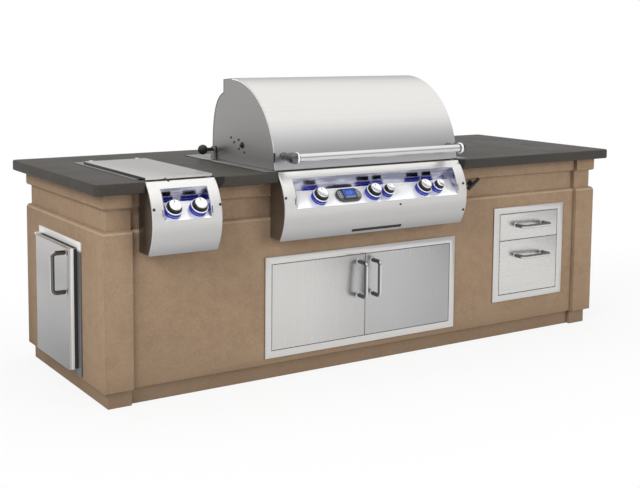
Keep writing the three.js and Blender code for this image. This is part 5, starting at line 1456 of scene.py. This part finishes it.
def knob_piece(area, node):
    """Knob: lit skirt under a bright rim, black ribbed body and a chrome cap with a pointer."""
    form = area.form
    low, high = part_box(node)
    reach = (high.x - low.x) / 2 / MM
    seat, rim, tall = form.ring_height / MM + 0.3, form.skirt_height / MM, form.knob_height / MM
    stem, brim, neck = 5, rim - 3.4, tall - 4
    body = reach * 0.73
    cap = body - 1.2
    made = Shape(area.stand((low.x + high.x) / 2))
    for finish_name, profile in (
        ("glow", ((0, -14), (stem, -14), (stem, seat), (reach - 0.8, seat), (reach - 1.4, brim), (0, brim))),
        ("bright", (
            (0, brim), (reach - 0.4, brim), (reach, rim - 2.6), (reach - 0.8, rim - 0.6), (reach - 2.2, rim),
            (0, rim),
        )),
        ("gloss_black", (
            (0, rim), (reach - 3, rim), (reach - 3.6, rim + 0.8), (body + 0.4, rim + 1.6), (body, rim + 4),
            (body - 0.6, neck), (0, neck),
        )),
        ("cap", (
            (0, neck), (cap + 0.8, neck), (cap + 1, tall - 3), (cap, tall - 0.8), (cap - 1.6, tall),
            (cap - 4, tall - 0.5), (0, tall - 1),
        )),
    ):
        made.turned(mm(*profile), finish_name, KNOB_STEPS)
    made.block(*mm((-1.3, cap * 0.4, tall - 1.6), (1.3, cap * 0.86, tall - 0.3)), "black")
    sizes = {"Ribs": form.ribs, "Ring": (body - 0.4) * MM, "Rib": 1.1 * MM, "Tall": (tall - rim - 6) * MM}
    middle = made.stand @ Matrix.Translation((0, 0, (tall + rim - 4.5) / 2 * MM))
    ribs = rule_for("ribs").make("ribs", [(0.0, 0.0, 0.0)], [], sizes, "gloss_black", stand=middle)
    settle(joined(node + "_turned", [made.piece("turned"), ribs]), node)


def dressed_panel(area, stem, panel, bezel, knobs, *cuts):
    """The panel with its openings, its bezel and its knobs."""
    settle(panel_body(area, stem + "_panel_rolled", (area.recess(), *cuts)), panel)
    settle(bezel_body(area, stem + "_bezel_bent", knobs), bezel)
    for knob in knobs:
        knob_piece(area, knob)


class MakeControls(bpy.types.Operator):
    """Grill control panel, bezel, knobs, display pod and lamp button."""

    bl_idname = "island.controls"
    bl_label = "Grill controls"

    def digits(self, face, tall):
        """Three lit numbers on the screen, made of bars."""
        bar, half, wide = DIGIT_BAR, DIGIT_HALF, DIGIT_WIDTH / 2
        spans = {
            "t": (-wide, half, wide, half + bar), "m": (-wide, 0, wide, bar),
            "f": (-wide, -half, wide, bar - half), "a": (-wide, 0, bar - wide, half),
            "b": (wide - bar, 0, wide, half), "c": (-wide, -half, bar - wide, 0),
            "d": (wide - bar, -half, wide, 0),
        }
        for i, number in enumerate("350"):
            x, y = i * DIGIT_STEP - 13, 5.5
            for key in DIGITS[number]:
                a, b, c, d = spans[key]
                face.block(*mm((x + a, y + b, tall + 1.2), (x + c, y + d, tall + 1.5)), "digit")

    def display(self, area):
        """Pod with a raised screen housing, lit digits and two pads."""
        low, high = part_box("display_pod")
        middle = (low.x + high.x) / 2
        stand = area.stand(middle)
        tall, reach = area.form.pod_thickness / MM, (high.x - low.x) / 2 / MM
        rings = []
        for z, inset in ((0.3, 0), (tall - 8, 0), (tall - 5.4, 0.8), (tall - 3.6, 2.4), (tall - 3, 4.4)):
            edge = POD_HALF_HEIGHT - inset
            outline = rounded(inset - reach, reach - inset, -edge, edge, edge - 0.01, 12)
            rings.append(mm(*((x, y, z) for x, y in outline)))
        pod, cutter = Shape(stand), Shape(stand)
        pod.loft(rings, "pod")
        pads = {}
        for node in ("display_button_left", "display_button_right"):
            x = pads[node] = (middle_of(node).x - middle) / MM
            cutter.block(*mm((x - 10.3, -17.3, tall - 6.6), (x + 10.3, 17.3, tall + 6)), "pod")
        body = carved(pod.piece("pod"), cutter.piece("pockets"))
        face = Shape(stand)
        for outline, at, to, finish_name in (
            (GLASS, tall - 4, tall + 0.6, "gloss_black"), (HOUSING, tall, tall + 1, "pod"),
            (SCREEN, tall + 0.5, tall + 1.3, "screen"),
        ):
            face.prism(mm(*rounded(*outline)), at * MM, to * MM, "z", finish_name)
        self.digits(face, tall)
        for i in range(4):
            face.block(*mm((i * 12 - 22, -19, tall + 0.9), (i * 12 - 14, -14, tall + 1.6)), "pad")
        dressed = joined("display_pod_dressed", [body, face.piece("face", 0.3 * MM)])
        settle(dressed, "display_pod")
        for node, x in pads.items():
            pad = Shape(stand)
            outline = mm(*rounded(x - 10, x + 10, -17, 17, 4))
            pad.prism(outline, (tall - 4.9) * MM, (tall - 1) * MM, "z", "pad")
            for row in (-1, 0, 1):
                for column in (-1, 1):
                    pad.stand = stand @ Matrix.Translation(mm((x + column * 4.4, row * 9.5, tall - 1))[0])
                    pad.turned(mm((0, -0.5), (3, -0.5), (3, 0.4), (1.8, 1), (0, 1.2)), "gloss_black", 16)
            settle(pad.piece(node + "_pad", 0.5 * MM), node)

    def lamp_button(self, area):
        """Round button under the recess."""
        lamp = middle_of("light_button")
        button = Shape(stand_on((lamp.x, area.front(lamp.z), lamp.z), (0, -1, 0)))
        button.turned(mm((0, -10), (5, -10), (5, 1), (4.4, 3), (2.5, 4), (0, 4.2)), "gloss_black", 28)
        settle(button.piece("light_button_turned"), "light_button")

    def execute(self, context):
        area = Fascia(context.scene, "control_panel", "control_bezel")
        low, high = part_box("drip_tray")
        slot = (
            (low.x - 4 * MM, area.low.y - PAST, low.z - SEAT),
            (high.x + 4 * MM, area.high.y + PAST, high.z + 1.5 * MM),
        )
        knobs = ("knob_1", "knob_2", "knob_3", "knob_4", "knob_5")
        dressed_panel(area, "control", "control_panel", "control_bezel", knobs, slot)
        self.display(area)
        self.lamp_button(area)
        end_slots(area, "control_panel_slots")
        # Painted shadow beside the panel's right end
        painted_shadow_strip(area, "control_panel_painted_shadow", 30 * MM)
        places = [area.screw_place(x, SCREW_DROP) for x in (area.low.x + 8 * MM, area.high.x - 20 * MM)]
        places.append(area.screw_place(area.high.x - 14 * MM, LOW_SCREW_DROP))
        screws_on("control_panel_screws", places, (0, -1, 0), context.scene.island_fittings.screw, "root")
        return {"FINISHED"}


class MakeSideBurner(bpy.types.Operator):
    """Side burner: tub, burners, grates, lid with its stop, panel, bezel and knobs."""

    bl_idname = "island.side_burner"
    bl_label = "Side burner"

    def lid_stop(self, area):
        """Rubber stop that the lid's front edge comes down behind."""
        x, ahead = area.low.x * 0.68 + area.high.x * 0.32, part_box("side_burner_lid")[0].y - 6.5 * MM
        stop = Shape(stand_on((x, ahead, area.high.z), (0, 0, 1)))
        stop.turned(mm((0, -3), (5.5, -3), (5.5, 5), (4, 7), (0, 7.4)), "rubber", 28)
        trim(stop.piece("side_lid_bumper"), "root")

    def execute(self, context):
        # Side burner's tub in the dark steel of painted shade
        eased_node("side_burner_tub", "flange", context.scene.island_metal.sheet_edge)
        lid = eased_node("side_burner_lid", "steel_y", 1.2 * MM, 3)
        # Painted shade: the lid's left side faces take the dark steel
        retint(lid, "smoked", lambda face: face.normal.x < -0.7)
        for place in ("front", "back"):
            eased_node("side_burner_" + place, "iron", 1.2 * MM, 3)
            eased_node("side_grate_" + place, "iron", 1.6 * MM, 3)
        area = Fascia(context.scene, "side_control_panel", "side_bezel")
        dressed_panel(area, "side", "side_control_panel", "side_bezel", ("side_knob_left", "side_knob_right"))
        end_slots(area, "side_panel_slots")
        # Painted shadow beside the panel's right end
        painted_shadow_strip(area, "side_panel_painted_shadow", 42 * MM)
        self.lid_stop(area)
        places = [area.screw_place(x, SCREW_DROP) for x in (area.low.x + 9 * MM, area.high.x - 9 * MM)]
        screws_on("side_panel_screws", places, (0, -1, 0), context.scene.island_fittings.screw, "root")
        return {"FINISHED"}


def bow_handle(scene, node, outward):
    """A bent round bar on two collars, darker on the side that the light doesn't reach."""
    fittings = scene.island_fittings
    low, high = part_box(node)
    radius, foot = fittings.bow_radius, fittings.foot
    out = Vector(outward)
    axis = 0 if abs(out.x) > 0.5 else 1
    peak = low[axis] + radius
    sizes = high - low
    along = max((i for i in range(3) if i != axis), key=lambda i: sizes[i])
    corners = []
    for end, level in ((low, high[axis]), (low, peak), (high, peak), (high, high[axis])):
        corner = (low + high) / 2
        corner[along] = end[along] + (radius if end is low else -radius)
        corner[axis] = level
        corners.append(corner)
    bar = bar_from("bar", corners, fittings.bow_bend, radius, "tube")
    # Painted shade: faces on the side away from the light, and the posts, take the dark steel
    shaded = Vector((0, 0, 1)) if along == 0 else Vector((-1, 0, 0)) if axis == 1 else Vector((0, -1, 0))
    least = 0.2 if along == 0 else 0.6
    near = peak + radius * 1.4
    retint(bar, "smoked", lambda face: face.center[axis] > near or face.normal.dot(shaded) > least)
    collars = Shape()
    for corner in (corners[0], corners[3]):
        collars.stand = stand_on(corner, out)
        collars.turned([
            (0, 0.2 * MM), (foot, 0.2 * MM), (foot, 2.6 * MM), (foot - 1.4 * MM, 4 * MM),
            (radius * 0.9, 4.6 * MM), (0, 4.6 * MM),
        ], "tube", 40)
    settle(joined(node + "_bow", [bar, collars.piece("collars")]), node)


class MakeStorage(bpy.types.Operator):
    """Access doors and drawers with their frames and bow handles."""

    bl_idname = "island.storage"
    bl_label = "Doors and drawers"

    def execute(self, context):
        edge = context.scene.island_metal.sheet_edge
        eased_node("door_frame", "steel_x", edge)
        eased_node("drawer_cabinet", "steel_x", edge)
        for hand in ("left", "right"):
            eased_node("access_door_" + hand, "door", edge * 1.4, 3)
            bow_handle(context.scene, "access_handle_" + hand, (0, -1, 0))
        for level in ("lower", "upper"):
            eased_node("drawer_" + level, "drawer", edge * 1.4, 3)
            bow_handle(context.scene, "drawer_handle_" + level, (0, -1, 0))
        return {"FINISHED"}


class MakeFridge(bpy.types.Operator):
    """Refrigerator: cabinet, door with its gasket, handle and wire shelf."""

    bl_idname = "island.fridge"
    bl_label = "Refrigerator"

    def gasket(self, depth):
        """Rubber ring behind the door."""
        low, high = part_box("fridge_door")
        back = high.y - 13.5 * MM
        proud, wall = 1.2 * MM, 6 * MM
        outer = rounded(low.y - proud, back + proud, low.z - proud, high.z + proud, 5 * MM, 4)
        inner = rounded(low.y + wall, back - wall, low.z + wall, high.z - wall, 5 * MM, 4)
        made = Shape()
        made.ring_prism(outer, inner, high.x - depth, high.x - 0.1 * MM, "x", "rubber")
        trim(made.piece("fridge_gasket", 0.8 * MM), "fridge_door")

    def shelf(self, wire):
        """Wire shelf in a bent rim."""
        low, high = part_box("fridge_shelf")
        z = (low.z + high.z) / 2
        x0, x1, y0, y1 = low.x + wire, high.x - wire, low.y + wire, high.y - wire
        rim = rim_from(x0, x1, y0, y1, z, wire, 12 * MM, wire * 1.4, "polish")
        wires = wires_across(low, high, wire, z, SHELF_WIRES, wire)
        settle(joined("fridge_shelf_wires", [rim, wires]), "fridge_shelf")

    def execute(self, context):
        fittings = context.scene.island_fittings
        edge = context.scene.island_metal.sheet_edge
        eased_node("fridge_cabinet", "fridge_frame", edge)
        door = eased_node("fridge_door", "fridge", edge * 1.6, 3)
        # The door's front edge faces take the painted highlight and shade
        retint(door, "fridge_edge_highlight_and_shade", lambda face: face.normal.y < -0.7)
        bow_handle(context.scene, "fridge_handle", (-1, 0, 0))
        self.gasket(fittings.gasket)
        self.shelf(fittings.wire)
        return {"FINISHED"}


class MakeGasKey(bpy.types.Operator):
    """Gas shut-off: wall plate and T key."""

    bl_idname = "island.gas_key"
    bl_label = "Gas key"

    def execute(self, context):
        fittings = context.scene.island_fittings
        low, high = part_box("gas_plate")
        x, z = (low.x + high.x) / 2, (low.z + high.z) / 2
        reach, tall = (high.x - low.x) / 2 / MM, (high.y - low.y) / MM
        plate = Shape(stand_on((x, high.y, z), (0, -1, 0)))
        plate.turned(mm(
            (0, 0), (reach, 0), (reach, 1.4), (reach - 1.4, 2.8), (10.4, 3.6), (9.5, 4.6), (9.3, tall - 1),
            (8.4, tall), (5.6, tall), (5.6, 3), (0, 3),
        ), "key_metal")
        settle(plate.piece("gas_plate_turned"), "gas_plate")
        low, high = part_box("gas_key")
        radius, tilt = fittings.key_radius, fittings.key_tilt
        centre = Vector((x, low.y + radius, z))
        half = Vector((math.cos(tilt), 0, math.sin(tilt))) * (fittings.key_length / 2)
        half *= 1 - 3 * MM / half.length
        bar = bar_from("bar", [centre - half, centre + half], 1 * MM, radius * 0.94, "key_metal")
        stem = bar_from("stem", [(x, high.y, z), centre], 1 * MM, 4 * MM, "key_metal")
        caps = Shape()
        for hand in (-1.0, 1.0):
            caps.stand = stand_on(centre + half * hand, half * hand)
            caps.turned(mm((0, -1), (8.4, -1), (7.8, 1), (5.6, 2.4), (0, 2.9)), "key_metal", 24)
        caps.stand = stand_on(centre, (0, -1, 0))
        caps.turned(mm((0, -12), (8.8, -12), (8.8, -2), (0, -2)), "key_metal", 24)
        settle(joined("gas_key_bar", [bar, stem, caps.piece("caps")]), "gas_key")
        return {"FINISHED"}


class MakeStage(bpy.types.Operator):
    """Camera, lamps, floor and pale backdrop."""

    bl_idname = "island.stage"
    bl_label = "Studio"

    def camera(self, scene, form):
        """The camera at the photograph's viewing angle."""
        wide, high = PHOTO_SIZE
        lens = bpy.data.cameras.new("camera")
        lens.sensor_width = SENSOR_WIDTH
        lens.lens = form.focal / wide * SENSOR_WIDTH
        lens.shift_x = (wide / 2 - form.optic_x) / wide
        lens.shift_y = (form.optic_y - high / 2) / wide
        camera = bpy.data.objects.new("camera", lens)
        aim = Matrix.Rotation(-form.yaw, 4, "Z") @ Matrix.Rotation(math.pi / 2 - form.pitch, 4, "X")
        camera.matrix_world = Matrix.Translation(form.place) @ aim @ Matrix.Rotation(form.roll, 4, "Z")
        scene.collection.objects.link(camera)
        scene.camera = camera

    def lamp(self, scene, name, place, size, power):
        """A soft lamp that looks at the island's middle."""
        light = bpy.data.lights.new(name, "AREA")
        light.shape = "RECTANGLE"
        light.size, light.size_y = size
        light.energy = power
        lamp = bpy.data.objects.new(name, light)
        lamp.visible_glossy = False
        low, high = cad_box
        aim = ((low + high) / 2 - Vector(place)).to_track_quat("-Z", "Y").to_matrix().to_4x4()
        lamp.matrix_world = Matrix.Translation(place) @ aim
        scene.collection.objects.link(lamp)

    def backdrop(self, scene, form):
        """Soft ambient light for the surfaces, and a pale studio for the camera and for reflections."""
        world = bpy.data.worlds.new("studio")
        world.use_nodes = True
        scene.world = world
        f = Finish("studio", world.node_tree)
        direction = f.node("ShaderNodeTexCoord", output="Generated")
        rise = f.node("ShaderNodeSeparateXYZ", {}, {"Vector": direction}, output="Z")
        room = f.node("ShaderNodeValToRGB", {"stops": ROOM}, {"Fac": rise * 0.5 + 0.5})
        seen, mirrored = f.rays()
        soft = f.node("ShaderNodeBackground", {}, {"Color": (0.98, 0.99, 1.0, 1.0), "Strength": form.ambient})
        shown = f.node("ShaderNodeBackground", {}, {
            "Color": f.mix(seen, room, (1.0, 1.0, 1.0)), "Strength": 1.0 + form.mirrored * (1 - seen),
        })
        mixed = f.node("ShaderNodeMixShader", {}, {0: (seen + mirrored).clamped(), 1: soft, 2: shown})
        f.node("ShaderNodeOutputWorld", {}, {"Surface": mixed})

    def outdoors(self, f):
        """0 on the floor inside the cabinet, and 1 outside it."""
        x, y = f.level("X"), f.level("Y")
        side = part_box("back_wall")[0].x ** 2
        front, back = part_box("front_wall")[0].y + 20 * MM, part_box("back_wall")[1].y
        off, half = y - (front + back) / 2, (back - front) / 2
        beside = f.band(x * x, side - 60 * MM, side - 40 * MM)
        ahead = f.band(off * off, half * half - 20 * MM, half * half - 12 * MM)
        return 1 - (1 - beside) * (1 - ahead)

    def floor(self, form):
        """Pale floor that keeps the island's shadow and meets the backdrop without a line."""
        f = Finish("studio floor")
        specks = f.noise(f.place(), 60.0, 3.0, 0.5)
        shade = tuple(form.floor_shade)
        matt = f.node("ShaderNodeBsdfDiffuse", {}, {"Color": f.mix(specks, scaled(shade, 0.99), shade)})
        white = f.node("ShaderNodeEmission", {}, {"Color": (1.0, 1.0, 1.0, 1.0), "Strength": 1.0})
        seen, mirrored = f.rays()
        seat = f.place((0.5, 1.0, 1.0))
        away = f.node("ShaderNodeVectorMath", {"operation": "LENGTH"}, {0: seat}, output="Value")
        share = seen * (0.86 + 0.14 * f.band(away, 0.7, 2.0)) * self.outdoors(f) + mirrored * 0.6
        mixed = f.node("ShaderNodeMixShader", {}, {0: share.clamped(), 1: matt, 2: white})
        f.node("ShaderNodeOutputMaterial", {}, {"Surface": mixed})
        disc = Shape()
        reach, depth = form.floor_radius, 20 * MM
        disc.turned([(0, -depth), (reach, -depth), (reach, 0), (0, 0)], "cast", 96)
        floor = disc.piece("studio_floor")
        floor.data.materials.clear()
        floor.data.materials.append(f.material)

    def execute(self, context):
        scene = context.scene
        form = scene.island_stage
        self.camera(scene, form)
        for name, (place, size, power) in LAMPS.items():
            self.lamp(scene, name, place, size, power)
        self.backdrop(scene, form)
        self.floor(form)
        scene.view_settings.view_transform = "Standard"
        return {"FINISHED"}


GROUPS = {
    "island_cabinet": CabinetLook, "island_metal": MetalLook, "island_hood": HoodForm,
    "island_fascia": FasciaForm, "island_fittings": FittingForm, "island_stage": StageForm,
}
MAKERS = (
    MakeStage, MakeCabinet, MakeFirebox, MakeHood, MakeControls, MakeSideBurner, MakeStorage, MakeFridge,
    MakeGasKey,
)


class IslandPanel(bpy.types.Panel):
    """Lists the operators that dress the island."""

    bl_idname = "VIEW3D_PT_island"
    bl_label = "Kitchen island"
    bl_space_type = "VIEW_3D"
    bl_region_type = "UI"
    bl_category = "Island"

    def draw(self, context):
        for maker in MAKERS:
            self.layout.operator(maker.bl_idname)


def register():
    for cls in (*GROUPS.values(), *MAKERS, IslandPanel):
        bpy.utils.register_class(cls)
    for name, group in GROUPS.items():
        setattr(bpy.types.Scene, name, PointerProperty(type=group))


def unregister():
    for name in GROUPS:
        delattr(bpy.types.Scene, name)
    for cls in reversed((*GROUPS.values(), *MAKERS, IslandPanel)):
        bpy.utils.unregister_class(cls)


def main():
    """Makes every piece in order."""
    register()
    for maker in MAKERS:
        family, name = maker.bl_idname.split(".")
        getattr(getattr(bpy.ops, family), name)()


if __name__ == "__main__":
    main()
